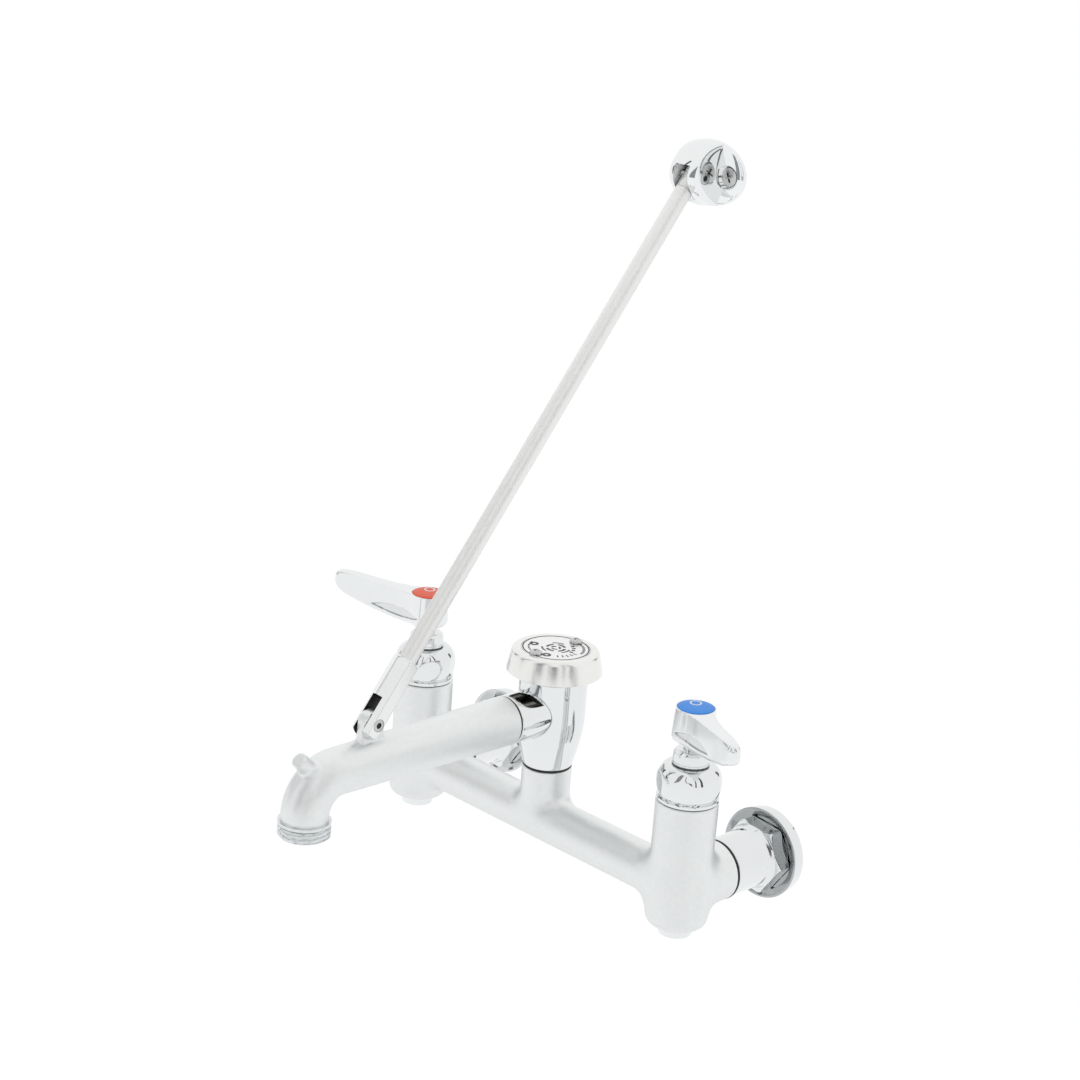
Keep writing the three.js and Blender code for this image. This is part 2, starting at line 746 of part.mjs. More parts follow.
function bonnet() {
  const ballZ = BONNET_Z + BONNET_BALL_AT;
  const lipTop = BONNET_Z + BONNET_LIP;
  const grooveTop = lipTop + BONNET_GROOVE;
  const under = THREE.MathUtils.radToDeg(Math.asin((grooveTop - ballZ) / BONNET_BALL_R));
  const upper = arc([0, 0], 1, 0, 80, 4).map(([x, y]) => [
    BONNET_TOP_R + (BONNET_BALL_R - BONNET_TOP_R) * x,
    ballZ + (BONNET_TOP - ballZ) * y,
  ]);
  const ball = turned([
    [0, grooveTop],
    ...arc([0, ballZ], BONNET_BALL_R, under, under / 2, 1),
    ...upper,
    [BONNET_TOP_R, BONNET_TOP],
    [0, BONNET_TOP],
  ], FINE);
  const dome = meet(ball, hexagon(BONNET_FLATS, BONNET_Z, BONNET_TOP + 1));
  const foot = turned([
    [0, BONNET_Z],
    [BONNET_LIP_R, BONNET_Z],
    [BONNET_LIP_R, lipTop],
    [BONNET_GROOVE_R, lipTop],
    [BONNET_GROOVE_R, grooveTop + BONNET_GROOVE],
    [0, grooveTop + BONNET_GROOVE],
  ], FINE);
  const lowest = LEDGE_Z + CARTRIDGE_FLANGE + 2 * SEAT_GAP;
  const thread = cylinder(BONNET_THREAD_R - THREAD_GAP, lowest, BONNET_Z + BONNET_LIP, MEDIUM);
  const nutSeat = BONNET_TOP - PACKING_THREAD_DEPTH - SEAT_GAP;
  const stemHole = STEM_R + 3 * THREAD_GAP;
  const bore = turned([
    [0, lowest - 1],
    [BONNET_BORE_R, lowest - 1],
    [BONNET_BORE_R, nutSeat - 2 * PACKING_LEDGE],
    [stemHole, nutSeat - PACKING_LEDGE],
    [stemHole, nutSeat],
    [clearing(PACKING_THREAD_R), nutSeat],
    [clearing(PACKING_THREAD_R), BONNET_TOP + 1],
    [0, BONNET_TOP + 1],
  ], MEDIUM);
  return cut(join(dome, foot, thread), bore);
}

function bonnetRing() {
  const low = BARREL_TOP + SEAT_GAP;
  return ring(BONNET_SEAL_R, clearing(BONNET_THREAD_R), low, low + BONNET_SEAL);
}

function packingRing() {
  const low = BONNET_TOP + SEAT_GAP;
  return ring(PACKING_SEAL_R, PACKING_THREAD_R, low, NUT_Z - SEAT_GAP, MEDIUM);
}

function packingNut() {
  const guide = clearing(STEM_R + RUNNING_GAP);
  return turned([
    [guide, BONNET_TOP - PACKING_THREAD_DEPTH],
    [PACKING_THREAD_R - THREAD_GAP, BONNET_TOP - PACKING_THREAD_DEPTH],
    [PACKING_THREAD_R - THREAD_GAP, NUT_Z],
    [PACKING_NUT_R - RIM_CHAMFER, NUT_Z],
    [PACKING_NUT_R, NUT_Z + RIM_CHAMFER],
    [PACKING_NUT_TOP_R, NUT_TOP - PACKING_NUT_BEVEL],
    [PACKING_NUT_TOP_R - PACKING_NUT_BEVEL, NUT_TOP],
    [guide, NUT_TOP],
    [guide, BONNET_TOP - PACKING_THREAD_DEPTH],
  ], MEDIUM);
}

// ---------------------------------------------------------------- lever handles

// The lever points along +X here. Its outline is set by a side view and a plan view that
// cross each other, so that the cheeks meet the top in crisp edges.
function leverSide() {
  const tipTop = HUB_TOP + LEVER_RISE;
  const tipZ = tipTop - LEVER_NOSE;
  const side = new THREE.Shape();
  side.moveTo(0, HUB_Z);
  side.lineTo(HUB_R, HUB_Z);
  side.bezierCurveTo(0.37 * LEVER_LENGTH, HUB_Z, 0.61 * LEVER_LENGTH, HUB_Z + LEVER_BELLY / 2,
    0.81 * LEVER_LENGTH, HUB_Z + LEVER_BELLY);
  side.bezierCurveTo(0.9 * LEVER_LENGTH, HUB_Z + 1.2 * LEVER_BELLY,
    LEVER_LENGTH, tipZ - 1.4 * LEVER_NOSE, LEVER_LENGTH, tipZ);
  side.absarc(LEVER_LENGTH - LEVER_NOSE, tipZ, LEVER_NOSE, 0, Math.PI / 2);
  side.bezierCurveTo(0.64 * LEVER_LENGTH, tipTop - LEVER_RISE / 4, 0.47 * LEVER_LENGTH, HUB_TOP,
    0.14 * LEVER_LENGTH, HUB_TOP);
  side.lineTo(0, HUB_TOP);
  return side;
}

function leverPlan(inset) {
  const root = HUB_TOP_R - THREAD_GAP - inset;
  const waist = LEVER_WAIST_HALF - inset;
  const tip = LEVER_TIP_HALF - inset;
  const end = LEVER_LENGTH - LEVER_TIP_HALF;
  const plan = new THREE.Shape();
  plan.moveTo(0, -root);
  plan.bezierCurveTo(0.22 * LEVER_LENGTH, -waist, 0.41 * LEVER_LENGTH, -waist, end, -tip);
  plan.absarc(end, 0, tip, -Math.PI / 2, Math.PI / 2);
  plan.bezierCurveTo(0.41 * LEVER_LENGTH, waist, 0.22 * LEVER_LENGTH, waist, 0, root);
  return plan;
}

// The plan drawn upright, its cheeks leaning outwards as they go down.
function leverCheeks(inset) {
  const upright = slab(leverPlan(inset), 4 * HUB_HEIGHT).translate(0, 0, HUB_Z);
  const at = upright.attributes.position;
  for (let i = 0; i < at.count; i += 1) {
    const lean = LEVER_DRAFT * (HUB_TOP - at.getZ(i));
    at.setY(i, at.getY(i) + lean * THREE.MathUtils.clamp(at.getY(i), -1, 1));
  }
  return upright;
}

// A lens sunk into each cheek beside the hub.
function scallops() {
  const low = HUB_Z + SCALLOP_LIFT;
  const middle = SCALLOP_START + SCALLOP_LENGTH / 2;
  const level = low + SCALLOP_RISE / 2;
  const lens = new THREE.Shape();
  lens.moveTo(SCALLOP_START, low);
  lens.quadraticCurveTo(middle, level - SCALLOP_BULGE, SCALLOP_START + SCALLOP_LENGTH, low + SCALLOP_RISE);
  lens.quadraticCurveTo(middle, level + SCALLOP_BULGE, SCALLOP_START, low);
  const through = slab(lens, 4 * HUB_R).rotateX(Math.PI / 2);
  const hubCore = cylinder(HUB_TOP_R - SCALLOP_DEPTH / 2, HUB_Z, HUB_TOP, FINE);
  return cut(through, leverCheeks(SCALLOP_DEPTH), hubCore);
}

function leverHandle() {
  const side = slab(leverSide(), 4 * HUB_R).rotateX(Math.PI / 2);
  const blade = meet(side, leverCheeks(0));
  const hub = turned([
    [0, HUB_Z],
    ...arc([HUB_R - HUB_ROUND, HUB_Z + HUB_ROUND], HUB_ROUND, -90, 0, 2),
    [HUB_TOP_R, HUB_TOP],
    [0, HUB_TOP],
  ], FINE);
  const outside = cut(join(hub, blade), scallops());
  const half = STEM_SQUARE / 2 + THREAD_GAP;
  const socket = box([-half, -half, HUB_Z], [half, half, SQUARE_TOP + SEAT_GAP]);
  const recessZ = HUB_TOP - CAP_RECESS;
  const headSeat = recessZ - HANDLE_SCREW_HEAD - 2 * SEAT_GAP;
  const bore = turned([
    [0, HUB_Z],
    [HANDLE_SCREW_R + THREAD_GAP, HUB_Z],
    [HANDLE_SCREW_R + THREAD_GAP, headSeat],
    [HANDLE_SCREW_HEAD_R + THREAD_GAP, headSeat],
    [HANDLE_SCREW_HEAD_R + THREAD_GAP, recessZ],
    [CAP_R + THREAD_GAP, recessZ],
    [CAP_R + THREAD_GAP, HUB_TOP + LEVER_RISE],
    [0, HUB_TOP + LEVER_RISE],
  ], FINE);
  const pocket = cylinder(HUB_POCKET_R, HUB_Z - 1, SQUARE_Z, MEDIUM);
  return cut(outside, socket, bore, pocket);
}

function handleScrew() {
  const headBottom = HUB_TOP - CAP_RECESS - HANDLE_SCREW_HEAD - SEAT_GAP;
  return turned([
    [0, SQUARE_TOP - HANDLE_SCREW_LENGTH + 1],
    [HANDLE_SCREW_R, SQUARE_TOP - HANDLE_SCREW_LENGTH + 1],
    [HANDLE_SCREW_R, headBottom],
    [HANDLE_SCREW_HEAD_R, headBottom],
    [HANDLE_SCREW_HEAD_R - 0.4, headBottom + HANDLE_SCREW_HEAD],
    [0, headBottom + HANDLE_SCREW_HEAD],
  ], COARSE);
}

function indexCap() {
  const low = HUB_TOP - CAP_RECESS + SEAT_GAP;
  const edge = HUB_TOP + CAP_PROUD;
  return turned([
    [0, low],
    [CAP_R, low],
    [CAP_R, edge],
    [CAP_R - CAP_EDGE, edge + CAP_DOME / 2],
    [CAP_R / 2, edge + CAP_DOME],
    [0, edge + CAP_DOME],
  ], FINE);
}

// ---------------------------------------------------------------- vacuum breaker

function breakerBody() {
  const threadLow = BOSS_TOP - BOSS_THREAD_DEPTH + 1;
  const bellRise = BREAKER_TOP - BREAKER_Z;
  const swell = BREAKER_BELL_R - BREAKER_BASE_R;
  const bell = [];
  for (let step = 1; step <= BELL_STEPS; step += 1) {
    const t = step / BELL_STEPS;
    const bulge = Math.sin(Math.min(t / BELL_FULL_AT, 1) * Math.PI / 2);
    bell.push([BREAKER_BASE_R + swell * bulge, BREAKER_Z + bellRise * t]);
  }
  const outside = turned([
    [0, threadLow],
    [BOSS_THREAD_R - THREAD_GAP, threadLow],
    [BOSS_THREAD_R - THREAD_GAP, BREAKER_Z],
    [BREAKER_BASE_R, BREAKER_Z],
    ...bell,
    [0, BREAKER_TOP],
  ], FINE);
  const reach = OUTLET_FACE - VALVE_TO_WALL;
  const outletBoss = awayFromWall(turned([
    [0, 0],
    [OUTLET_BOSS_R, 0],
    [OUTLET_BOSS_R, reach - RIM_CHAMFER],
    [OUTLET_BOSS_R - RIM_CHAMFER, reach],
    [0, reach],
  ], FINE)).translate(0, 0, SPOUT_Z);
  const chamber = turned([
    [0, threadLow - 1],
    [BREAKER_WAY_R, threadLow - 1],
    [BREAKER_WAY_R, BREAKER_SEAT],
    [clearing(BREAKER_CHAMBER_R), BREAKER_SEAT],
    [clearing(BREAKER_CHAMBER_R), BREAKER_TOP + 1],
    [0, BREAKER_TOP + 1],
  ], MEDIUM);
  const outletWay = awayFromWall(turned([
    [0, 0],
    [OUTLET_WAY_R, 0],
    [OUTLET_WAY_R, reach - OUTLET_THREAD_DEPTH],
    [clearing(OUTLET_THREAD_R), reach - OUTLET_THREAD_DEPTH],
    [clearing(OUTLET_THREAD_R), reach + 1],
    [0, reach + 1],
  ], MEDIUM)).translate(0, 0, SPOUT_Z);
  return cut(join(outside, outletBoss), chamber, outletWay);
}

function breakerRing() {
  const low = BOSS_TOP + SEAT_GAP;
  return ring(BREAKER_BASE_R - 0.1, clearing(BOSS_THREAD_R), low, low + BREAKER_RING);
}

function spoutRing() {
  const low = OUTLET_FACE - VALVE_TO_WALL + SEAT_GAP;
  return awayFromWall(ring(OUTLET_BOSS_R - 0.2, clearing(OUTLET_THREAD_R), low, low + BREAKER_RING))
    .translate(0, 0, SPOUT_Z);
}

function screwPosts(make) {
  return [-1, 1].map((side) => make().translate(0, side * HOOD_SCREW_AT, 0));
}

function screwHole(low, high) {
  return cylinder(clearing(HOOD_SCREW_R + SEAT_GAP, COARSE), low, high, COARSE);
}

function breakerBonnet() {
  const flangeLow = BREAKER_TOP + SEAT_GAP;
  const flangeTop = flangeLow + VENT_FLANGE;
  const postTop = PANEL_TOP - HOOD_WALL - SEAT_GAP;
  const plug = turned([
    [FLOAT_STEM_R + 2 * RUNNING_GAP, VENT_SEAT],
    [BREAKER_CHAMBER_R - THREAD_GAP, VENT_SEAT],
    [BREAKER_CHAMBER_R - THREAD_GAP, flangeLow],
    [VENT_FLANGE_R, flangeLow],
    [VENT_FLANGE_R, flangeTop],
    [GUIDE_R, flangeTop],
    [GUIDE_R, GUIDE_TOP],
    [FLOAT_STEM_R + 2 * RUNNING_GAP, GUIDE_TOP],
    [FLOAT_STEM_R + 2 * RUNNING_GAP, VENT_SEAT],
  ], MEDIUM);
  const vents = [];
  for (let i = 0; i < VENT_COUNT; i += 1) {
    const angle = 2 * Math.PI * i / VENT_COUNT;
    const vent = cylinder(VENT_R, VENT_SEAT - 1, flangeTop + 1, COARSE);
    vents.push(vent.translate(VENT_AT * Math.cos(angle), VENT_AT * Math.sin(angle), 0));
  }
  const posts = screwPosts(() => cylinder(POST_R, flangeTop - 1, postTop, COARSE));
  const holes = screwPosts(() => screwHole(postTop - HOOD_SCREW_LENGTH, postTop + 1));
  return cut(join(plug, ...posts), ...vents, ...holes);
}

function breakerFloat() {
  const low = BREAKER_SEAT + SEAT_GAP;
  const top = low + FLOAT_DISC;
  return turned([
    [0, low],
    [BREAKER_WAY_R - 1, low],
    [FLOAT_R, low + 0.8],
    [FLOAT_R, top],
    [FLOAT_STEM_R, top],
    [FLOAT_STEM_R, top + FLOAT_STEM - 0.6],
    [FLOAT_STEM_R - 0.6, top + FLOAT_STEM],
    [0, top + FLOAT_STEM],
  ], MEDIUM);
}

function floatSeal() {
  const low = BREAKER_SEAT + FLOAT_DISC + 2 * SEAT_GAP;
  return ring(FLOAT_R, FLOAT_STEM_R + THREAD_GAP, low, low + FLOAT_SEAL, MEDIUM);
}

function hood() {
  const shoulderZ = HOOD_TOP - HOOD_SHOULDER_DROP;
  const panelLow = PANEL_TOP - HOOD_WALL;
  const recess = PLATE_R + THREAD_GAP;
  const shell = turned([
    [0, panelLow],
    [HOOD_SHOULDER_R - HOOD_SHOULDER_DROP / 2, panelLow],
    [HOOD_SHOULDER_R - HOOD_WALL, shoulderZ],
    [HOOD_RIM_R - HOOD_WALL, HOOD_RIM_Z],
    [HOOD_RIM_R, HOOD_RIM_Z],
    ...arc([HOOD_SHOULDER_R - HOOD_SHOULDER_DROP, shoulderZ], HOOD_SHOULDER_DROP, 0, 90),
    [recess, HOOD_TOP],
    [recess, PANEL_TOP],
    [0, PANEL_TOP],
  ], FINE);
  const holes = screwPosts(() => screwHole(panelLow - 1, PANEL_TOP + 1));
  return cut(shell, ...holes);
}

function topPlate() {
  const low = PANEL_TOP + SEAT_GAP;
  const holes = screwPosts(() => screwHole(low - 1, low + PLATE_THICK + 1));
  return cut(cylinder(PLATE_R, low, low + PLATE_THICK, FINE), ...holes);
}

function hoodScrew() {
  const headLow = PANEL_TOP + PLATE_THICK + 2 * SEAT_GAP;
  return turned([
    [0, headLow - HOOD_SCREW_LENGTH],
    [HOOD_SCREW_R, headLow - HOOD_SCREW_LENGTH],
    [HOOD_SCREW_R, headLow],
    [HOOD_SCREW_HEAD_R, headLow],
    [HOOD_SCREW_HEAD_R, headLow + 0.5 * HOOD_SCREW_HEAD],
    [0.75 * HOOD_SCREW_HEAD_R, headLow + 0.85 * HOOD_SCREW_HEAD],
    [0.3 * HOOD_SCREW_HEAD_R, headLow + HOOD_SCREW_HEAD],
    [0, headLow + HOOD_SCREW_HEAD],
  ], COARSE);
}

// ---------------------------------------------------------------- spout

// A round section of the spout, square to the way it runs: ahead (0 degrees) turning down (90).
function spoutSection(y, z, turn, radius, sides) {
  const across = new THREE.Vector3(1, 0, 0);
  const upward = new THREE.Vector3(0, -Math.sin(radians(turn)), Math.cos(radians(turn)));
  const section = [];
  for (let i = 0; i < sides; i += 1) {
    const angle = 2 * Math.PI * i / sides;
    const point = new THREE.Vector3(0, y, z);
    point.addScaledVector(across, radius * Math.cos(angle));
    point.addScaledVector(upward, radius * Math.sin(angle));
    section.push(point);
  }
  return section;
}

function spoutRun(rootY, rootR, radius, endZ, sides) {
  const sections = [spoutSection(rootY, SPOUT_Z, 0, rootR, sides)];
  for (let i = 0; i <= SPOUT_BEND_STEPS; i += 1) {
    const turn = 90 * i / SPOUT_BEND_STEPS;
    const y = BEND_Y - SPOUT_BEND_R * Math.sin(radians(turn));
    const z = SPOUT_Z - SPOUT_BEND_R + SPOUT_BEND_R * Math.cos(radians(turn));
    sections.push(spoutSection(y, z, turn, radius, sides));
  }
  sections.push(spoutSection(-OUTLET_REACH, endZ, 90, radius, sides));
  return loft(sections);
}

// A hole along X for a pivot pin, through a piece that reaches this far either side.
function pivotHole(reach) {
  return alongX(cylinder(clearing(PIVOT_R + RUNNING_GAP, COARSE), -reach, reach, COARSE));
}

function lug() {
  const base = SPOUT_Z + SPOUT_R - 3;
  const outline = new THREE.Shape();
  outline.moveTo(LOWER_PIVOT_Y + LUG_BASE_HALF, base);
  outline.lineTo(LOWER_PIVOT_Y + LUG_BASE_HALF, SPOUT_Z + LUG_FOOT);
  outline.lineTo(LOWER_PIVOT_Y + LUG_R, LOWER_PIVOT_Z);
  outline.absarc(LOWER_PIVOT_Y, LOWER_PIVOT_Z, LUG_R, 0, Math.PI);
  outline.lineTo(LOWER_PIVOT_Y - LUG_BASE_HALF, SPOUT_Z + LUG_FOOT);
  outline.lineTo(LOWER_PIVOT_Y - LUG_BASE_HALF, base);
  return standing(slab(outline, LUG_THICK));
}

function pailHorn() {
  const horn = turned([
    [0, SPOUT_R / 2],
    [HORN_ROOT_R, SPOUT_R / 2],
    [HORN_R, (SPOUT_R + HORN_REACH) / 2],
    [HORN_TIP_R, HORN_REACH - RIM_CHAMFER],
    [HORN_TIP_R - RIM_CHAMFER, HORN_REACH],
    [0, HORN_REACH],
  ], MEDIUM);
  const y = BEND_Y - SPOUT_BEND_R * Math.sin(radians(HORN_BEND));
  const z = SPOUT_Z - SPOUT_BEND_R * (1 - Math.cos(radians(HORN_BEND)));
  return horn.rotateX(radians(HORN_ANGLE)).translate(0, y, z);
}

function spout() {
  const tailStart = SPOUT_ROOT - OUTLET_THREAD_DEPTH;
  const tail = awayFromWall(cylinder(OUTLET_THREAD_R - THREAD_GAP, tailStart, SPOUT_ROOT + 1))
    .translate(0, 0, SPOUT_Z);
  const thread = turned([
    [0, OUTLET_Z],
    [HOSE_THREAD_R - HOSE_CHAMFER, OUTLET_Z],
    [HOSE_THREAD_R, OUTLET_Z + HOSE_CHAMFER],
    [HOSE_THREAD_R, OUTLET_Z + HOSE_THREAD_LENGTH - HOSE_CHAMFER],
    [HOSE_THREAD_R - HOSE_CHAMFER, OUTLET_Z + HOSE_THREAD_LENGTH],
    [0, OUTLET_Z + HOSE_THREAD_LENGTH],
  ], FINE).translate(0, -OUTLET_REACH, 0);
  const outside = spoutRun(-SPOUT_ROOT, SPOUT_ROOT_R, SPOUT_R, OUTLET_Z + 2, FINE);
  const bore = spoutRun(-SPOUT_ROOT - 3, SPOUT_TAIL_BORE_R, SPOUT_BORE_R, OUTLET_Z - 1, MEDIUM);
  const tailBore = awayFromWall(cylinder(SPOUT_TAIL_BORE_R, tailStart - 1, SPOUT_ROOT + 4))
    .translate(0, 0, SPOUT_Z);
  const pinHole = pivotHole(LUG_THICK).translate(0, LOWER_PIVOT_Y, LOWER_PIVOT_Z);
  return cut(join(outside, tail, thread, lug(), pailHorn()), bore, tailBore, pinHole);
}

// ---------------------------------------------------------------- support rod

const CLEVIS_CORNER = CLEVIS_FLATS / Math.sqrt(3);

// Built along +Z with the lower pivot at the origin and the pivot pins along X.
// The nose is turned round about the pivot, so that it swings clear of the spout.
function clevis() {
  const flatNose = Math.sqrt(CLEVIS_SWING_R ** 2 - CLEVIS_BELOW ** 2);
  const nose = [0, 0.5, 1].map((t) => {
    const radius = flatNose + (CLEVIS_CORNER - flatNose) * t;
    return [radius, -Math.sqrt(CLEVIS_SWING_R ** 2 - radius ** 2)];
  });
  const rounded = turned([
    [0, -CLEVIS_BELOW],
    ...nose,
    [CLEVIS_CORNER, CLEVIS_ABOVE - 0.8],
    [0.5 * CLEVIS_FLATS, CLEVIS_ABOVE],
    [0, CLEVIS_ABOVE],
  ], FINE);
  const bar = hexagon(CLEVIS_FLATS, -CLEVIS_BELOW, CLEVIS_ABOVE).rotateZ(Math.PI / 6);
  const half = FORK_SLOT / 2;
  const slot = box([-half, -CLEVIS_FLATS, -CLEVIS_BELOW - 1], [half, CLEVIS_FLATS, CLEVIS_SLOT_ABOVE]);
  const socket = cylinder(ROD_R + RUNNING_GAP, CLEVIS_ABOVE - ROD_IN_CLEVIS - SEAT_GAP, CLEVIS_ABOVE + 1);
  const pinHole = pivotHole(CLEVIS_FLATS);
  const headSeat = CLEVIS_FLATS / 2 - PIVOT_HEAD;
  const headHole = alongX(cylinder(PIVOT_HEAD_R + SEAT_GAP, headSeat, CLEVIS_FLATS, COARSE));
  return cut(meet(bar, rounded), slot, socket, pinHole, headHole);
}

// A socket-head pivot screw along X, its head flush with the face at the given distance.
function pivotScrew(face, shankEnd) {
  const headLow = face - PIVOT_HEAD + SEAT_GAP;
  const headTop = face + SEAT_GAP;
  const body = turned([
    [0, -shankEnd],
    [PIVOT_R, -shankEnd],
    [PIVOT_R, headLow],
    [PIVOT_HEAD_R, headLow],
    [PIVOT_HEAD_R, headTop - 0.3],
    [PIVOT_HEAD_R - 0.3, headTop],
    [0, headTop],
  ], COARSE);
  return alongX(cut(body, hexagon(SOCKET_FLATS, headTop - SOCKET_DEPTH, headTop + 1)));
}

function rodTube() {
  const low = CLEVIS_ABOVE - ROD_IN_CLEVIS;
  return ring(ROD_R, ROD_R - ROD_WALL, low, PIVOT_SPACING - ROD_END_LENGTH, MEDIUM);
}

// The solid end that plugs the tube, cross-drilled for the upper pivot.
function rodEnd() {
  const shoulder = PIVOT_SPACING - ROD_END_LENGTH + SEAT_GAP;
  const spigot = ROD_R - ROD_WALL - SEAT_GAP;
  const top = PIVOT_SPACING + 1.15 * ROD_R;
  const plug = turned([
    [0, shoulder - ROD_END_SPIGOT],
    [spigot, shoulder - ROD_END_SPIGOT],
    [spigot, shoulder],
    [ROD_R, shoulder],
    [ROD_R, top - 2.5],
    [ROD_R - 0.8, top - 0.9],
    [ROD_R - 2.5, top],
    [0, top],
  ], MEDIUM);
  const hole = pivotHole(2 * ROD_R).translate(0, 0, PIVOT_SPACING);
  return cut(plug, hole);
}

// ---------------------------------------------------------------- wall bracket

// An oval cap whose rim stands on the wall, with its back at +Y.
function bracketCap(height) {
  const profile = [];
  for (let step = 1; step < BRACKET_DOME_STEPS; step += 1) {
    const angle = Math.PI / 2 * step / BRACKET_DOME_STEPS;
    profile.push([Math.cos(angle) ** BRACKET_POWER, BRACKET_RIM + height * Math.sin(angle)]);
  }
  const cap = awayFromWall(turned([
    [0, 0],
    [1, 0],
    [1, BRACKET_RIM],
    ...profile,
    [0, BRACKET_RIM + height],
  ], FINE));
  return cap.scale(BRACKET_HALF_WIDTH, 1, BRACKET_HALF_HEIGHT).translate(0, BRACKET_BACK, BRACKET_LIFT);
}

// Built about the upper pivot: a low plate with a tall forked ridge across its middle.
function wallBracket() {
  const front = -BRACKET_DOME;
  const beyond = 2 * BRACKET_HALF_HEIGHT;
  const across = box([-CHEEK_HALF, front, -beyond], [CHEEK_HALF, BRACKET_BACK + 1, beyond]);
  const shell = join(bracketCap(BRACKET_PLATE_DOME), meet(bracketCap(BRACKET_DOME), across));
  const half = BRACKET_SLOT / 2;
  const slot = box([-half, front, -beyond], [half, BRACKET_SLOT_BACK, BRACKET_SLOT_TOP]);
  const floor = BRACKET_BACK - PLATE_FLOOR;
  const screwHoles = [-1, 1].map((side) => awayFromWall(turned([
    [0, -BRACKET_BACK - 1],
    [WALL_SCREW_R + THREAD_GAP, -BRACKET_BACK - 1],
    [WALL_SCREW_R + THREAD_GAP, -floor - WALL_SCREW_HEAD],
    [WALL_SCREW_HEAD_R + THREAD_GAP, -floor],
    [POCKET_R, -floor],
    [POCKET_R, 0],
    [0, 0],
  ], MEDIUM)).translate(side * WALL_SCREW_X, 0, BRACKET_LIFT));
  const pinHole = pivotHole(CHEEK_HALF + 1);
  const headHole = alongX(cylinder(PIVOT_HEAD_R + SEAT_GAP, CHEEK_HALF - PIVOT_HEAD, CHEEK_HALF + 1, COARSE));
  return cut(shell, slot, ...screwHoles, pinHole, headHole);
}

function wallScrew() {
  const floor = BRACKET_BACK - PLATE_FLOOR;
  return awayFromWall(turned([
    [0, 0.4 - BRACKET_BACK],
    [WALL_SCREW_R, 0.4 - BRACKET_BACK],
    [WALL_SCREW_R, -floor - WALL_SCREW_HEAD + SEAT_GAP],
    [WALL_SCREW_HEAD_R, -floor + SEAT_GAP],
    [0.6 * WALL_SCREW_HEAD_R, -floor + 0.6],
    [0, -floor + 0.8],
  ], COARSE));
}

// ---------------------------------------------------------------- assembly

place(faucet, 'body_casting', bodyCasting(), roughChrome());

const valves = [
  { name: 'hot', x: -HALF, lever: HOT_LEVER_ANGLE, flats: 30, enamel: redEnamel },
  { name: 'cold', x: HALF, lever: COLD_LEVER_ANGLE, flats: 0, enamel: blueEnamel },
];
for (const { name, x, lever, flats, enamel } of valves) {
  const inlet = new THREE.Group();
  inlet.position.set(x, 0, 0);
  inlet.rotation.x = Math.PI / 2;
  place(inlet, `${name}_wall_flange`, wallFlange(), polishedChrome());
  place(inlet, `${name}_inlet_coupling`, coupling(), polishedChrome());
  place(inlet, `${name}_coupling_o_ring`, armRing(), blackRubber());

  const valve = new THREE.Group();
  valve.position.set(x, -VALVE_TO_WALL, 0);
  place(valve, `${name}_stop_bonnet`, stopBonnet(), roughChrome());
  place(valve, `${name}_stop_spindle`, stopSpindle(), brass());
  place(valve, `${name}_seat_seal`, seatSeal(), blackRubber());
  const shut = radians(lever + 90);
  place(valve, `${name}_fixed_disc`, ceramicDisc(FIXED_DISC_Z).rotateZ(shut), ceramic());
  place(valve, `${name}_cartridge_housing`, cartridgeHousing(), brass());
  place(valve, `${name}_bonnet_o_ring`, bonnetRing(), blackRubber());
  place(valve, `${name}_bonnet`, bonnet().rotateZ(radians(flats)), polishedChrome());
  place(valve, `${name}_packing_ring`, packingRing(), blackRubber());
  place(valve, `${name}_packing_nut`, packingNut(), polishedChrome());

  const turning = new THREE.Group();
  turning.rotation.z = radians(lever);
  place(turning, `${name}_rotating_disc`, ceramicDisc(TURNING_DISC_Z), ceramic());
  place(turning, `${name}_cartridge_stem`, cartridgeStem(), brass());
  place(turning, `${name}_lever_handle`, leverHandle(), polishedChrome());
  place(turning, `${name}_handle_screw`, handleScrew(), satinSteel());
  place(turning, `${name}_index_cap`, indexCap(), enamel());
  valve.add(turning);
  faucet.add(inlet, valve);
}

const breaker = new THREE.Group();
breaker.position.set(0, -VALVE_TO_WALL, 0);
place(breaker, 'breaker_o_ring', breakerRing(), blackRubber());
place(breaker, 'breaker_body', breakerBody(), polishedChrome());
place(breaker, 'breaker_float', breakerFloat(), whitePlastic());
place(breaker, 'float_seal', floatSeal(), blackRubber());
place(breaker, 'breaker_bonnet', breakerBonnet(), brass());
place(breaker, 'breaker_hood', hood(), satinNickel());
place(breaker, 'hood_top_plate', topPlate(), satinSteel());
place(breaker, 'spout_o_ring', spoutRing(), blackRubber());
const hoodScrewNames = ['front_hood_screw', 'rear_hood_screw'];
hoodScrewNames.forEach((name, index) => {
  const screw = hoodScrew().translate(0, (index === 0 ? -1 : 1) * HOOD_SCREW_AT, 0);
  place(breaker, name, screw, satinSteel());
});
faucet.add(breaker);

place(faucet, 'spout', spout(), roughChrome());

const brace = new THREE.Group();
brace.position.set(0, LOWER_PIVOT_Y, LOWER_PIVOT_Z);
brace.rotation.x = -radians(ROD_ANGLE);
place(brace, 'rod_clevis', clevis(), polishedChrome());
place(brace, 'lower_pivot_screw', pivotScrew(CLEVIS_FLATS / 2, CLEVIS_FLATS / 2 - 0.3), satinSteel());
place(brace, 'support_rod', rodTube(), satinSteel());
place(brace, 'rod_end', rodEnd(), satinSteel());
faucet.add(brace);

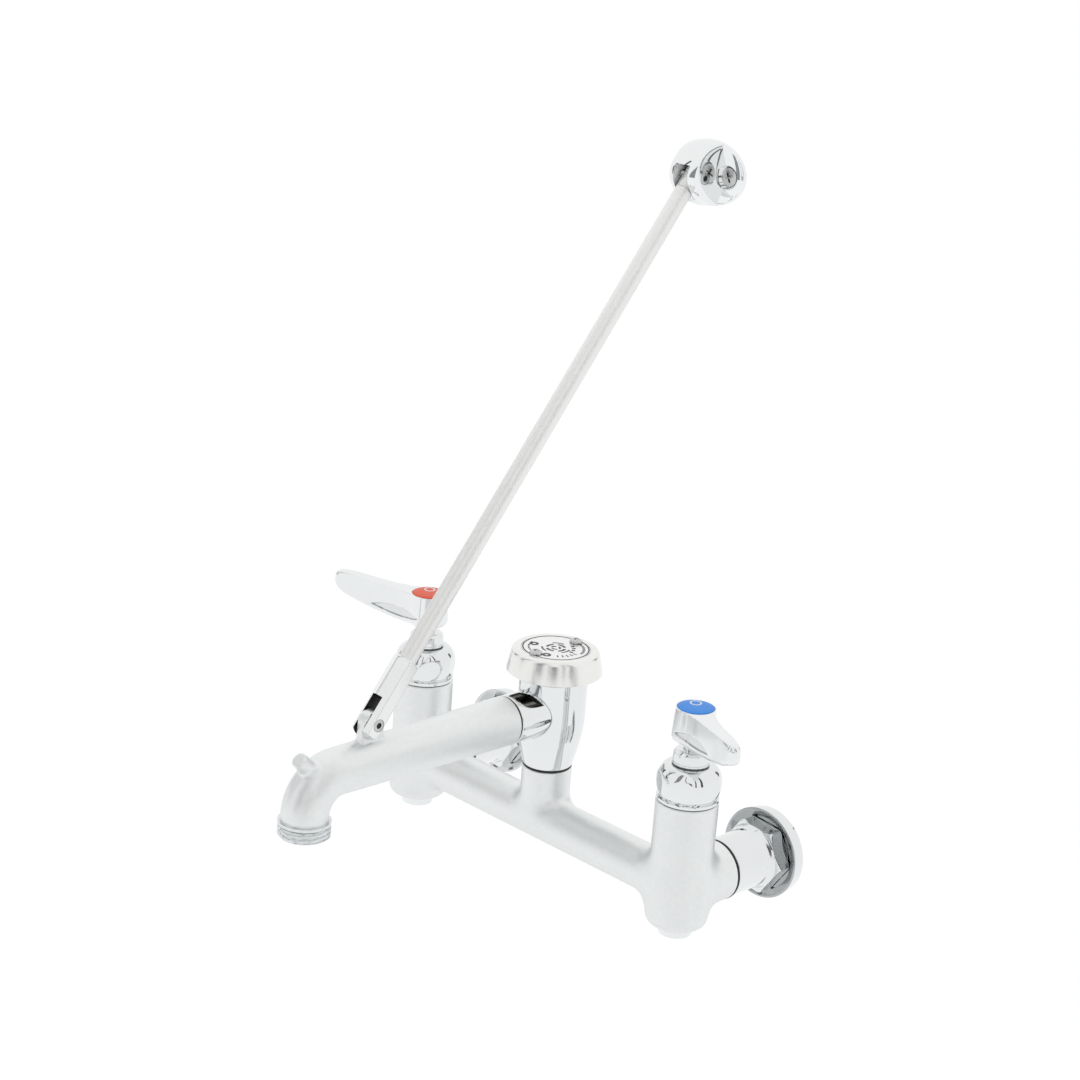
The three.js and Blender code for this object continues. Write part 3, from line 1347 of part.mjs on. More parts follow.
const bracket = new THREE.Group();
const leanY = PIVOT_SPACING * Math.sin(radians(ROD_ANGLE));
const leanZ = PIVOT_SPACING * Math.cos(radians(ROD_ANGLE));
bracket.position.set(0, LOWER_PIVOT_Y + leanY, LOWER_PIVOT_Z + leanZ);
place(bracket, 'wall_bracket', wallBracket(), polishedChrome());
place(bracket, 'upper_pivot_screw', pivotScrew(CHEEK_HALF, CHEEK_HALF - 0.3), satinSteel());
const wallScrewNames = ['left_wall_screw', 'right_wall_screw'];
wallScrewNames.forEach((name, index) => {
  const screw = wallScrew().translate((index === 0 ? -1 : 1) * WALL_SCREW_X, 0, BRACKET_LIFT);
  place(bracket, name, screw, satinSteel());
});
faucet.add(bracket);

export default faucet;
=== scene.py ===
from math import ceil, cos, dist, hypot, pi, radians, sin, sqrt, tan

import bmesh
import bpy
import numpy as np
from mathutils import Matrix, Vector


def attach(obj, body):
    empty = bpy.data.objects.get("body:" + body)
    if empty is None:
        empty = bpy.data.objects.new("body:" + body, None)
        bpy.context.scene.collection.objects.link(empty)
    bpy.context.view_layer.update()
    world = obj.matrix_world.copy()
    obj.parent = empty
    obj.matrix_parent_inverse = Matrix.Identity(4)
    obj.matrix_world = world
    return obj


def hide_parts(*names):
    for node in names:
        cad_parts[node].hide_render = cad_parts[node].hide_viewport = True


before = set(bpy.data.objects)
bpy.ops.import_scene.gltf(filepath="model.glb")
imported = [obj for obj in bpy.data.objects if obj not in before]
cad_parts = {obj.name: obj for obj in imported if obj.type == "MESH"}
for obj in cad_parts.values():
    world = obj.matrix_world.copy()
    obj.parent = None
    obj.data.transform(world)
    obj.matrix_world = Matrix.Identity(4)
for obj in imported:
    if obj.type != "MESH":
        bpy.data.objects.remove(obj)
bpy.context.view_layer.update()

# ---------------------------------------- body casting
# One sand-cast brass body: a cross tube that swells into two upright valve barrels, a short
# boss in the middle and two arms towards the wall. It is tumbled and chrome plated as cast,
# so it shines softly, with the grain of the sand still in it. Sizes here are millimetres.

VALVE_X, VALVE_Y = 101.6, -70.8
SIDES = (("hot", -VALVE_X), ("cold", VALVE_X))
BARREL_R, BARREL_TOP, BARREL_FOOT = 16.4, 47.7, -22.2
CROSS_TUBE_R = 12.4
BOSS_R, BOSS_TOP = 13.5, 31.0
ARM_R, ARM_END = 16.2, -42.6
CROSS_TUBE = ((-VALVE_X, VALVE_Y, 0), (VALVE_X, VALVE_Y, 0), CROSS_TUBE_R)
BOSS = ((0, VALVE_Y, 0), (0, VALVE_Y, BOSS_TOP + 6), BOSS_R)
VALVE_ENDS = [(
    ((x, VALVE_Y, BARREL_FOOT), (x, VALVE_Y, BARREL_TOP + 9), BARREL_R),
    ((x, VALVE_Y, 0), (x, ARM_END + 6, 0), ARM_R),
) for side, x in SIDES]


def placed(name, data):
    """Puts a mesh, a lamp or a camera in the scene."""
    thing = bpy.data.objects.new(name, data)
    bpy.context.scene.collection.objects.link(thing)
    return thing


def mesh_piece(name, points, faces):
    """A mesh in metres from points in millimetres, with its faces turned outwards."""
    shape = bmesh.new()
    corners = [shape.verts.new(Vector(point) * 0.001) for point in points]
    for face in faces:
        shape.faces.new([corners[i] for i in face])
    bmesh.ops.recalc_face_normals(shape, faces=shape.faces[:])
    mesh = bpy.data.meshes.new(name)
    shape.to_mesh(mesh)
    shape.free()
    return placed(name, mesh)


def spun(name, profile, sides=96, shape=None, at=None):
    """A profile of (radius, height) spun about Z. It starts and ends on the axis, or closes."""
    angles = [2 * pi * i / sides for i in range(sides)]
    points, rings = [], []
    for radius, height in profile:
        if radius < 1e-6:
            rings.append([len(points)] * sides)
            points.append((0, 0, height))
            continue
        rings.append(list(range(len(points), len(points) + sides)))
        for angle in angles:
            r = shape(angle, radius, height) if shape else radius
            points.append((r * cos(angle), r * sin(angle), height))
    if profile[0][0] > 1e-6:
        rings.append(rings[0])
    faces = []
    for low, high in zip(rings, rings[1:]):
        for i in range(sides):
            j = (i + 1) % sides
            face = list(dict.fromkeys((low[i], low[j], high[j], high[i])))
            if len(face) > 2:
                faces.append(face)
    piece = mesh_piece(name, points, faces)
    if at:
        piece.data.transform(at)
    return piece


def at_mm(x, y, z, turn=0.0, about="X"):
    """A place in millimetres, after a turn in degrees."""
    place = Matrix.Translation(Vector((x, y, z)) * 0.001)
    return place @ Matrix.Rotation(radians(turn), 4, about)


def fillets(*corners, steps=5):
    """Rounds the corners of a profile: each is (radius, height) or (radius, height, rounding)."""
    line = []
    for i, corner in enumerate(corners):
        here = Vector(corner[:2])
        if len(corner) < 3:
            line.append(tuple(here))
            continue
        back = Vector(corners[i - 1][:2]) - here
        ahead = Vector(corners[(i + 1) % len(corners)][:2]) - here
        half = back.angle(ahead) / 2
        reach = min(corner[2] / tan(half), 0.49 * back.length, 0.49 * ahead.length)
        rounding = reach * tan(half)
        middle = (back.normalized() + ahead.normalized()).normalized()
        centre = here + middle * rounding / sin(half)
        first = here + back.normalized() * reach - centre
        last = here + ahead.normalized() * reach - centre
        sweep = first.angle_signed(last)
        for step in range(steps + 1):
            turned = first.copy()
            turned.rotate(Matrix.Rotation(-sweep * step / steps, 2))
            line.append(tuple(centre + turned))
    return line


def settled(piece):
    """Makes the piece's modifiers part of its mesh."""
    bpy.context.view_layer.update()
    graph = bpy.context.evaluated_depsgraph_get()
    mesh = bpy.data.meshes.new_from_object(piece.evaluated_get(graph))
    piece.modifiers.clear()
    piece.data = mesh
    return piece


def machined(piece, *cutters, operation="DIFFERENCE"):
    """Cuts the tools from the piece, or adds them to it, one after another."""
    for cutter in cutters:
        step = piece.modifiers.new("machining", "BOOLEAN")
        step.object = cutter
        step.operation = operation
        step.solver = "MANIFOLD"
        settled(piece)
        bpy.data.objects.remove(cutter)
    return piece


def bar(points, start, end, radius, rounding=1.0):
    """How far each point is outside a round bar."""
    start, end = np.array(start, float), np.array(end, float)
    length = np.linalg.norm(end - start)
    axis = (end - start) / length
    along = (points - start) @ axis
    across = np.linalg.norm(points - start - along[:, None] * axis, axis=1)
    out = across - (radius - rounding)
    past = np.abs(along - length / 2) - (length / 2 - rounding)
    corner = np.hypot(np.maximum(out, 0), np.maximum(past, 0))
    return np.minimum(np.maximum(out, past), 0) + corner - rounding


def run_together(a, b, width):
    """Joins two forms with a fillet, as wet sand lets the pattern do."""
    share = np.clip(0.5 + 0.5 * (b - a) / width, 0, 1)
    return b * (1 - share) + a * share - width * share * (1 - share)


def joined(name, parts):
    """Loose parts as one piece."""
    whole = parts[0]
    whole.name = name
    shape = bmesh.new()
    for part in parts:
        shape.from_mesh(part.data)
    shape.to_mesh(whole.data)
    shape.free()
    for part in parts[1:]:
        bpy.data.objects.remove(part)
    return whole


def poured(name, rough, distance, grain):
    """A casting: rough bars skinned over, and the skin drawn on to the smooth form."""
    piece = joined(name, rough)
    for size in (1.5 * grain, grain):
        skin = piece.modifiers.new("skin", "REMESH")
        skin.mode = "VOXEL"
        skin.voxel_size = size * 0.001
        settled(piece)
        count = len(piece.data.vertices)
        flat = np.empty(3 * count, np.float32)
        piece.data.vertices.foreach_get("co", flat)
        points = flat.reshape(-1, 3).astype(float) * 1000
        for _ in range(8):
            here = distance(points)
            slope = np.empty_like(points)
            for axis in range(3):
                nudge = np.zeros(3)
                nudge[axis] = 0.02
                slope[:, axis] = (distance(points + nudge) - distance(points - nudge)) / 0.04
            steep = np.maximum((slope ** 2).sum(1), 0.2)
            points -= np.clip(here / steep, -2, 2)[:, None] * slope
        piece.data.vertices.foreach_set("co", (points * 0.001).astype(np.float32).ravel())
        piece.data.update()
    return piece


def casting_form(points):
    """How far each point is outside the body casting."""
    form = run_together(bar(points, *CROSS_TUBE), bar(points, *BOSS), 7)
    for barrel, arm in VALVE_ENDS:
        form = run_together(form, bar(points, *barrel, 5), 11)
        form = run_together(form, bar(points, *arm), 7)
    return form


def hoop(inner, outer, low, high):
    """The profile of a plain ring."""
    return [(inner, low), (outer, low), (outer, high), (inner, high)]


def drill(start, *steps, sides=48, at=None):
    """A stepped drill from a height on, each step (radius, height where it ends)."""
    profile = [(0, start)]
    for radius, end in steps:
        profile += [(radius, profile[-1][1]), (radius, end)]
    return spun("drill", profile + [(0, profile[-1][1])], sides, at=at)


def solid_bar(start, end, radius):
    start, end = Vector(start), Vector(end)
    turn = (end - start).to_track_quat("Z", "Y").to_matrix().to_4x4()
    place = Matrix.Translation(start * 0.001) @ turn
    return drill(0, (radius, (end - start).length), sides=32, at=place)


rough = [solid_bar(*CROSS_TUBE), solid_bar(*BOSS)]
for barrel, arm in VALVE_ENDS:
    rough += [solid_bar(*barrel), solid_bar(*arm)]
casting = poured("chromed_body_casting", rough, casting_form, 1.0)

barrel_bore = [(0, 80), (24, 80), (24, 39.5), (15.8, BARREL_TOP), (14.4, BARREL_TOP),
               (14.4, 35.7), (12.1, 35.7), (12.1, 10), (4.5, 10), (4.5, 6), (0, 6)]
boss_bore = [(0, 60), (20, 60), (20, 24.4), (13, BOSS_TOP), (11.9, BOSS_TOP),
             (11.9, 16), (8, 16), (0, 0)]
arm_end = ARM_END - VALVE_Y
arm_bore = [(0, 60), (24, 60), (24, arm_end - 8.4), (15.6, arm_end), (12.6, arm_end),
            (12.6, 16.2), (6.4, 16.2), (6.4, 2), (0, 2)]
for side, x in SIDES:
    machined(
        casting,
        spun("bore", barrel_bore, 64, at=at_mm(x, VALVE_Y, 0)),
        drill(-40, (7.2, -10), (8, 7), at=at_mm(x, VALVE_Y, 0)),
        spun("bore", arm_bore, 64, at=at_mm(x, VALVE_Y, 0, -90)),
    )
machined(casting, spun("bore", boss_bore, 64, at=at_mm(0, VALVE_Y, 0)))


def surface_of(finish):
    return finish.node_tree.nodes["Principled BSDF"]


def fill(node, values):
    """Sets the inputs of a node by their names."""
    for socket, value in values.items():
        node.inputs[socket].default_value = value


def finish_of(name, colour, roughness, metallic=1.0):
    """A new material, ready for its grain."""
    finish = bpy.data.materials.new(name)
    finish.use_nodes = True
    fill(surface_of(finish), {
        "Base Color": (*colour, 1), "Roughness": roughness, "Metallic": metallic})
    return finish


def noise_on(finish, scale, detail=3.0, stretch=(1, 1, 1), turn=(0, 0, 0)):
    """Noise fixed to the piece, its scale per metre, stretched along the piece's own axes."""
    nodes, links = finish.node_tree.nodes, finish.node_tree.links
    place = nodes.new("ShaderNodeTexCoord")
    mapping = nodes.new("ShaderNodeMapping")
    mapping.vector_type = "TEXTURE"
    fill(mapping, {"Rotation": [radians(angle) for angle in turn], "Scale": stretch})
    noise = nodes.new("ShaderNodeTexNoise")
    fill(noise, {"Scale": scale, "Detail": detail})
    links.new(place.outputs["Object"], mapping.inputs["Vector"])
    links.new(mapping.outputs["Vector"], noise.inputs["Vector"])
    return noise.outputs["Fac"]


def spread(finish, value, low, high):
    """Noise turned into a range of numbers."""
    ramp = finish.node_tree.nodes.new("ShaderNodeMapRange")
    fill(ramp, {"From Min": 0.3, "From Max": 0.7, "To Min": low, "To Max": high})
    finish.node_tree.links.new(value, ramp.inputs["Value"])
    return ramp.outputs["Result"]


def toned(finish, value, low, high):
    """Lets the colour drift between two with the noise."""
    mix = finish.node_tree.nodes.new("ShaderNodeMix")
    mix.data_type = "RGBA"
    fill(mix, {"A": (*low, 1), "B": (*high, 1)})
    finish.node_tree.links.new(spread(finish, value, 0, 1), mix.inputs["Factor"])
    finish.node_tree.links.new(mix.outputs["Result"], surface_of(finish).inputs["Base Color"])


def dulled(finish, value, low, high):
    """Lets the roughness drift with the noise."""
    dull = spread(finish, value, low, high)
    finish.node_tree.links.new(dull, surface_of(finish).inputs["Roughness"])


def relief(finish, value, depth, under=None):
    """Raises the surface by noise, the depth in millimetres, over any relief under it."""
    links = finish.node_tree.links
    bump = finish.node_tree.nodes.new("ShaderNodeBump")
    fill(bump, {"Distance": depth * 0.001})
    links.new(value, bump.inputs["Height"])
    if under:
        links.new(under, bump.inputs["Normal"])
    links.new(bump.outputs["Normal"], surface_of(finish).inputs["Normal"])
    return bump.outputs["Normal"]


def cast_chrome():
    finish = finish_of("cast_chrome", (0.84, 0.855, 0.855), 0.42)
    sand = noise_on(finish, 2400)
    toned(finish, noise_on(finish, 420, 4), (0.82, 0.838, 0.838), (0.855, 0.868, 0.868))
    dulled(finish, sand, 0.36, 0.48)
    relief(finish, sand, 0.030, relief(finish, noise_on(finish, 220, 2), 0.12))
    return finish


def dressed(piece, finish, body, slot, *nodes, crease=34):
    """Gives a piece its finish, its shading, the body it rides on and the nodes it stands for."""
    piece.data.materials.clear()
    piece.data.materials.append(finish)
    piece.data.shade_smooth()
    piece.data.set_sharp_from_angle(angle=radians(crease))
    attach(piece, body)
    if nodes:
        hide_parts(*nodes)
    return piece


cast = cast_chrome()
dressed(casting, cast, "faucet_body", "rough_chrome", "body_casting")

# ---------------------------------------- wall flanges and couplings
# Each inlet is a brass coupling with a hexagon for the wrench, screwed on to the supply pipe
# and into the arm of the casting, over a black ring. A dished flange hides the pipe's hole in
# the wall. Both are turned from bar, polished and chrome plated.

HEX_FLATS, HEX_TURN = 35.0, 25
HEX_BACK, HEX_FRONT = 5.5, 15.6


def polished_chrome(name, tone, roughness):
    """Mirror plating, a little blue, with a faint haze and the slow ripple of the buffing."""
    bright = (tone, tone + 0.015, tone + 0.02)
    finish = finish_of(name, bright, roughness)
    dulled(finish, noise_on(finish, 70, 4), 0.7 * roughness, 1.3 * roughness)
    toned(finish, noise_on(finish, 40, 2), tuple(part - 0.02 for part in bright), bright)
    relief(finish, noise_on(finish, 160, 2), 0.012)
    return finish


def moulded_rubber(name, tone):
    finish = finish_of(name, (tone, tone, tone), 0.5, 0.0)
    bloom = noise_on(finish, 500, 4)
    toned(finish, bloom, (0.7 * tone,) * 3, (1.6 * tone,) * 3)
    dulled(finish, bloom, 0.42, 0.6)
    relief(finish, noise_on(finish, 2400, 2), 0.02)
    return finish


def soft_least(a, b, width):
    """The smaller of two numbers, eased where they cross."""
    share = min(max(0.5 + 0.5 * (b - a) / width, 0), 1)
    return b * (1 - share) + a * share - width * share * (1 - share)


def flat_reach(angle, flats, first=0.0):
    """How far out the flats of a hexagon lie in a direction, the first flat facing `first`."""
    turn = (angle - radians(first) + pi / 6) % (pi / 3) - pi / 6
    return flats / 2 / cos(turn)


def hexed(angle, radius, height):
    """The hexagon milled on the coupling."""
    if radius < HEX_FLATS / 2 - 0.6 or not HEX_BACK < height < HEX_FRONT:
        return radius
    return soft_least(radius, flat_reach(angle, HEX_FLATS, HEX_TURN), 0.3)


def stepped(profile, step=0.6):
    """Puts more points along the straight runs of a profile, for what a shape changes there."""
    fine = [profile[0]]
    for start, end in zip(profile, profile[1:]):
        pieces = max(1, ceil(dist(start, end) / step))
        for i in range(1, pieces + 1):
            fine.append(tuple(a + (b - a) * (i / pieces) for a, b in zip(start, end)))
    return fine


def o_ring(name, inner, outer, low, high, at, finish, node):
    """A moulded ring, whose round lip shows between two pieces."""
    lip = 0.45 * min(high - low, outer - inner)
    ring = spun(name, fillets(
        (inner, low), (outer, low, lip), (outer, high, lip), (inner, high)), at=at)
    dressed(ring, finish, "faucet_body", "black_rubber", node)


def paint_shade_on_faces(piece, finish, chosen, at=None):
    """Paints shade on some faces with another material, chosen by their centre and facing in
    millimetres.
    """
    piece.data.materials.append(finish)
    home = at.inverted() if at else Matrix.Identity(4)
    for face in piece.data.polygons:
        if chosen(home @ face.center * 1000, home.to_3x3() @ face.normal):
            face.material_index = len(piece.data.materials) - 1


chrome = polished_chrome("polished_chrome", 0.79, 0.05)
rubber = moulded_rubber("black_rubber", 0.013)
for (side, x), tone in zip(SIDES, (0.66, 0.46)):
    wall = at_mm(x, 0, 0, 90)
    flange = spun(f"{side}_dished_flange", fillets(
        (17.2, 0), (24.2, 0, 0.3), (25.0, 7.8, 0.8), (23.9, 7.8, 0.4),
        (19.9, 5.2, 1.2), (17.2, 5.2), steps=6), 144, at=wall)
    dressed(flange, chrome, "faucet_body", "polished_chrome", f"{side}_wall_flange")
    # The dished face of each flange takes a darker chrome, darker on the cold side than the hot:
    # painted dark reflection.
    dull = polished_chrome(f"{side}_flange_face_painted_reflection", tone, 0.12)
    paint_shade_on_faces(flange, dull, lambda spot, facing: facing.z > 0.25, wall)
    outside = stepped(fillets(
        (10.6, 0.2), (17, 0.2, 0.5), (17, 6, 0.2), (20.2, 6, 0.4), (20.2, 15, 0.5),
        (17.5, 15, 0.3), (16, 18.4, 3), (16, 41.2, 0.7), (11.8, 41.2)))
    inside = [(11.8, 53.2), (6.4, 53.2), (6.4, 21), (10.4, 19), (10.4, 1)]
    coupling = spun(f"{side}_hexagon_coupling", outside + inside, 240, hexed, wall)
    dressed(coupling, chrome, "faucet_body", "polished_chrome", f"{side}_inlet_coupling", crease=28)
    o_ring(f"{side}_arm_ring", 12.5, 16.35, 41.3, 42.5, wall, rubber, f"{side}_coupling_o_ring")

# ---------------------------------------- stops
# Under each barrel a brass plug holds a slotted spindle, which shuts the water off with a
# screwdriver. The plug is plated with the body and the spindle is bare brass.


def bare_brass():
    finish = finish_of("bare_brass", (0.66, 0.48, 0.22), 0.3)
    tarnish = noise_on(finish, 180, 5)
    toned(finish, tarnish, (0.56, 0.40, 0.17), (0.72, 0.54, 0.27))
    dulled(finish, tarnish, 0.22, 0.42)
    relief(finish, noise_on(finish, 2600, 2, (6, 6, 1)), 0.03)
    return finish


def six_sided(points):
    """A cutter from eight corners, their height changing fastest and their X slowest."""
    return mesh_piece("block", points, [
        (0, 1, 3, 2), (4, 6, 7, 5), (0, 4, 5, 1), (2, 3, 7, 6), (0, 2, 6, 4), (1, 5, 7, 3)])


def block(low, high):
    (x0, y0, z0), (x1, y1, z1) = low, high
    return six_sided([(x, y, z) for x in (x0, x1) for y in (y0, y1) for z in (z0, z1)])


def slot_cut(length, width, low, high, at):
    """The cutter for a straight slot across a piece, or a square hole down it."""
    cutter = block((-length / 2, -width / 2, low), (length / 2, width / 2, high))
    cutter.data.transform(at)
    return cutter


brass = bare_brass()
soft_chrome = polished_chrome("soft_chrome", 0.83, 0.16)
for side, x in SIDES:
    upright = at_mm(x, VALVE_Y, 0)
    plug = spun(f"{side}_stop_plug", fillets(
        (5.2, -27.7, 0.3), (8.9, -27.7, 0.6), (8.9, -22.3, 0.4), (6.6, -22.3),
        (6.6, -10), (3.32, -10), (3.32, -24.7), (5.2, -24.7)), 96, at=upright)
    dressed(plug, soft_chrome, "faucet_body", "rough_chrome", f"{side}_stop_bonnet")
    spindle = spun(f"{side}_stop_screw", fillets(
        (0, -26.6), (3.2, -26.6, 0.4), (3.2, -1.5), (6.2, -1.5, 0.3), (6.2, 0, 0.3),
        (4, 1), (0, 1)), 64, at=upright)
    machined(spindle, slot_cut(12.8, 1.4, -28, -25, upright))
    dressed(spindle, brass, f"{side}_stop", "brass", f"{side}_stop_spindle")

# ---------------------------------------- bonnets
# The bonnet screws on to the barrel over a black ring. It is turned to a ball, with six flats
# milled on it for the wrench, and polished. A packing nut on top squeezes a second ring round
# the stem of the cartridge.

BONNET_FLATS = 32.0
LIP_Z = 48.35
BALL_R, BALL_Z = 17.0, 58.3
CROWN_R, CROWN_RISE = 10.9, 9.5


def bonnet_profile():
    """The lip on the barrel, a neck, the ball and the flatter crown over it, and the inside."""
    line = [
        (8.9, 38.2), (13.6, 38.2), (13.6, LIP_Z), (16.1, LIP_Z), (16.3, 48.55), (16.3, 49.8),
        (16.1, 50.0), (14.9, 50.1), (14.9, 51.0)]
    for step in range(13):
        angle = radians(-25.4 + 25.4 * step / 12)
        line.append((BALL_R * cos(angle), BALL_Z + BALL_R * sin(angle)))
    for step in range(1, 17):
        angle = radians(86 * step / 16)
        line.append((CROWN_R + 6.1 * cos(angle), BALL_Z + CROWN_RISE * sin(angle)))
    return line + [(CROWN_R, 67.8), (7.9, 67.8), (7.9, 61.8), (5.2, 61.8), (5.2, 59.8), (8.9, 57.8)]


def six_flats(first):
    """Wrench flats milled round the ball, one of them facing `first` degrees."""
    def milled(angle, radius, height):
        if height < 50.5 or radius < 14.5:
            return radius
        return soft_least(radius, flat_reach(angle, BONNET_FLATS, first), 0.25)
    return milled


seal = moulded_rubber("grey_seal", 0.2)
for (side, x), first in zip(SIDES, (30, 0)):
    upright = at_mm(x, VALVE_Y, 0)
    ball = spun(f"{side}_ball_bonnet", bonnet_profile(), 144, six_flats(first), upright)
    dressed(ball, chrome, "faucet_body", "polished_chrome", f"{side}_bonnet")
    o_ring(f"{side}_barrel_ring", 14.4, 15.6, 47.75, 48.3, upright, seal, f"{side}_bonnet_o_ring")
    o_ring(f"{side}_stem_ring", 7.7, 9.6, 67.85, 68.45, upright, seal, f"{side}_packing_ring")
    nut = spun(f"{side}_packing_gland", fillets(
        (4.6, 61.8), (7.4, 61.8), (7.4, 68.5), (9.9, 68.5, 0.15), (9.9, 69.5, 0.15),
        (9.55, 69.6), (9.55, 69.9), (9.8, 70.0, 0.1), (9.3, 74.4, 0.4), (7.9, 75.8, 0.5),
        (4.6, 75.8)), at=upright)
    dressed(nut, chrome, "faucet_body", "polished_chrome", f"{side}_packing_nut")

# ---------------------------------------- levers
# Die-cast levers, polished and plated. The hub's round wall runs on into two flat cheeks that
# meet the top in a crisp edge, and low on each cheek a lens is sunk beside the hub. A screw
# holds the lever on the square of the stem, under a coloured cap that snaps in.

HUB_Z, HUB_TOP, HUB_R, HUB_ROUND = 80.8, 98.5, 10.4, 2.4
LEVER_LENGTH, LEVER_NOSE, TIP_HALF = 58.9, 4.0, 3.5
TIP_TOP = HUB_TOP + 3.1
TOP_START = 8.3
LENS_START, LENS_END, LENS_WALL = 1.0, 34.0, 0.4
LEVER_DRAFT = 0.06


def bezier(points, count=60):
    """A smooth line from the first point to the last, drawn towards those between."""
    line = []
    for i in range(count + 1):
        rest = [Vector(point) for point in points]
        while len(rest) > 1:
            rest = [a.lerp(b, i / count) for a, b in zip(rest, rest[1:])]
        line.append(tuple(rest[0]))
    return np.array(line)


knee = (47.8, HUB_Z + 6.6)
underside = np.vstack([
    [(0, HUB_Z)],
    bezier([(HUB_R, HUB_Z), (21.8, HUB_Z), (36, HUB_Z + 3.3), knee]),
    bezier([knee, (53.1, HUB_Z + 7.9), (59, TIP_TOP - 9.6), (59, TIP_TOP - LEVER_NOSE)], 20)[1:],
])
top_line = bezier([(TOP_START, HUB_TOP), (27.7, HUB_TOP), (37.8, TIP_TOP - 1.0), (55, TIP_TOP)])
flank = bezier([(0, HUB_R - 0.2), (13, 4.5), (24.2, 4.4), (LEVER_LENGTH - TIP_HALF, TIP_HALF)])
lens_top = bezier([(LENS_START, 85.8), (17.5, 92.3), (LENS_END, 87)])
lens_bottom = bezier([(LENS_START, 85.8), (9, 82.6), (19, 83.2), (LENS_END, 87)])


def along_line(x, line):
    return float(np.interp(x, line[:, 0], line[:, 1]))


def round_in(gap, rounding):
    """How far a rounded corner has drawn in, this far short of the edge."""
    depth = max(rounding - gap, 0)
    return rounding - sqrt(max(rounding ** 2 - depth ** 2, 0))


def lever_ends(x):
    """Bottom and top of the lever at a distance along it."""
    low = HUB_Z + round_in(HUB_R + x, HUB_ROUND) if x < 0 else along_line(x, underside)
    high = HUB_TOP if x < TOP_START else along_line(x, top_line)
    nose = LEVER_LENGTH - LEVER_NOSE
    if x > nose:
        high = TIP_TOP - LEVER_NOSE + sqrt(max(LEVER_NOSE ** 2 - (x - nose) ** 2, 0))
    return low, high


def lens_step(x, z):
    """How far down its wall the lens has gone at a place on the cheek, from 0 to 1."""
    if not LENS_START < x < LENS_END:
        return 0.0
    inside = min(z - along_line(x, lens_bottom), along_line(x, lens_top) - z)
    step = min(max(inside / LENS_WALL, 0), 1)
    return step * step * (3 - 2 * step)


def lever_half(x, z, low, high):
    """Half the width of the lever at a place in its side view, before its draft."""
    hub_r = HUB_R - round_in(z - HUB_Z, HUB_ROUND)
    hub = sqrt(max(hub_r ** 2 - x ** 2, 0))
    if x <= 0:
        return hub
    tip = LEVER_LENGTH - TIP_HALF
    blade = along_line(x, flank) if x < tip else sqrt(max(TIP_HALF ** 2 - (x - tip) ** 2, 0))
    fade = min(max((x - 44) / 13, 0), 1)
    blade -= round_in(z - low, min(2.2, 0.6 * blade, 0.45 * (high - low)))
    blade -= round_in(high - z, min(0.3 + 3.0 * fade ** 2, 0.85 * blade, 0.45 * (high - low)))
    return -soft_least(-hub, -blade, 1.6 if x < 14 else 0.01)


def lever_ring(x):
    """One section of the lever, as a closed line of points."""
    low, high = lever_ends(x)
    heights = [low + (high - low) * 0.5 * (1 - cos(pi * i / 88)) for i in range(89)]
    side = []
    for z in heights:
        half = lever_half(x, z, low, high)
        side.append((half - min(lens_step(x, z), 0.4 * half), z))
    bottom, top = side[0][0], side[-1][0]
    side = [(bottom * t, low) for t in (0, 0.35, 0.7)] + side
    side += [(top * t, high) for t in (0.7, 0.35, 0)]
    return [(x, y, z) for y, z in side] + [(x, -y, z) for y, z in side[-2:0:-1]]


def drafted(point):
    """The walls lean outwards as they go down, so that the casting leaves its die."""
    x, y, z = point
    back = min(x, 0)
    away = hypot(back, y)
    if away < 1e-6:
        return point
    lean = LEVER_DRAFT * (HUB_TOP - z) * min(away, 1) / away
    return x + back * lean, y + y * lean, z


def lever(name, at):
    """The lever as a skin over its sections, bored for the stem, its screw and the cap."""
    stations = [-HUB_R * cos(radians(90 * i / 24)) for i in range(24)]
    stations[0] = -HUB_R + 0.01
    stations += [54.0 * i / 180 for i in range(180)]
    stations += [54.0 + 5.0 * sin(radians(90 * i / 24)) for i in range(24)]
    stations.append(LEVER_LENGTH - 0.004)
    rings = [lever_ring(x) for x in stations]
    sides = len(rings[0])
    points = [drafted(point) for ring in rings for point in ring]
    last = (len(rings) - 1) * sides
    faces = []
    for low in range(0, last, sides):
        for i in range(sides):
            j = (i + 1) % sides
            faces.append((low + i, low + j, low + sides + j, low + sides + i))
    faces += [tuple(range(sides)), tuple(range(last, last + sides))]
    piece = mesh_piece(name, points, faces)
    machined(
        piece,
        drill(120, (9.75, 95.4), (4.4, 93), (2.2, 82), sides=96),
        drill(70, (7.4, 83.2), sides=64),
        slot_cut(6.6, 6.6, 82, 92.3, Matrix.Identity(4)),
    )
    piece.data.transform(at)
    return piece


def cap_enamel(name, colour, shade):
    finish = finish_of(name, colour, 0.34, 0.0)
    cloud = noise_on(finish, 220)
    toned(finish, cloud, shade, colour)
    dulled(finish, cloud, 0.25, 0.36)
    fill(surface_of(finish), {"Specular IOR Level": 0.25})
    relief(finish, noise_on(finish, 300, 2), 0.01)
    return finish


def pale_paint():
    finish = finish_of("pale_mark", (0.82, 0.84, 0.88), 0.35, 0.0)
    toned(finish, noise_on(finish, 600), (0.76, 0.79, 0.84), (0.86, 0.88, 0.92))
    relief(finish, noise_on(finish, 900), 0.02)
    return finish


def steel(name, colour, roughness):
    finish = finish_of(name, colour, roughness)
    wear = noise_on(finish, 400, 4)
    toned(finish, wear, tuple(0.9 * part for part in colour), colour)
    dulled(finish, wear, roughness * 0.7, roughness * 1.3)
    relief(finish, noise_on(finish, 2200, 2), 0.02)
    return finish


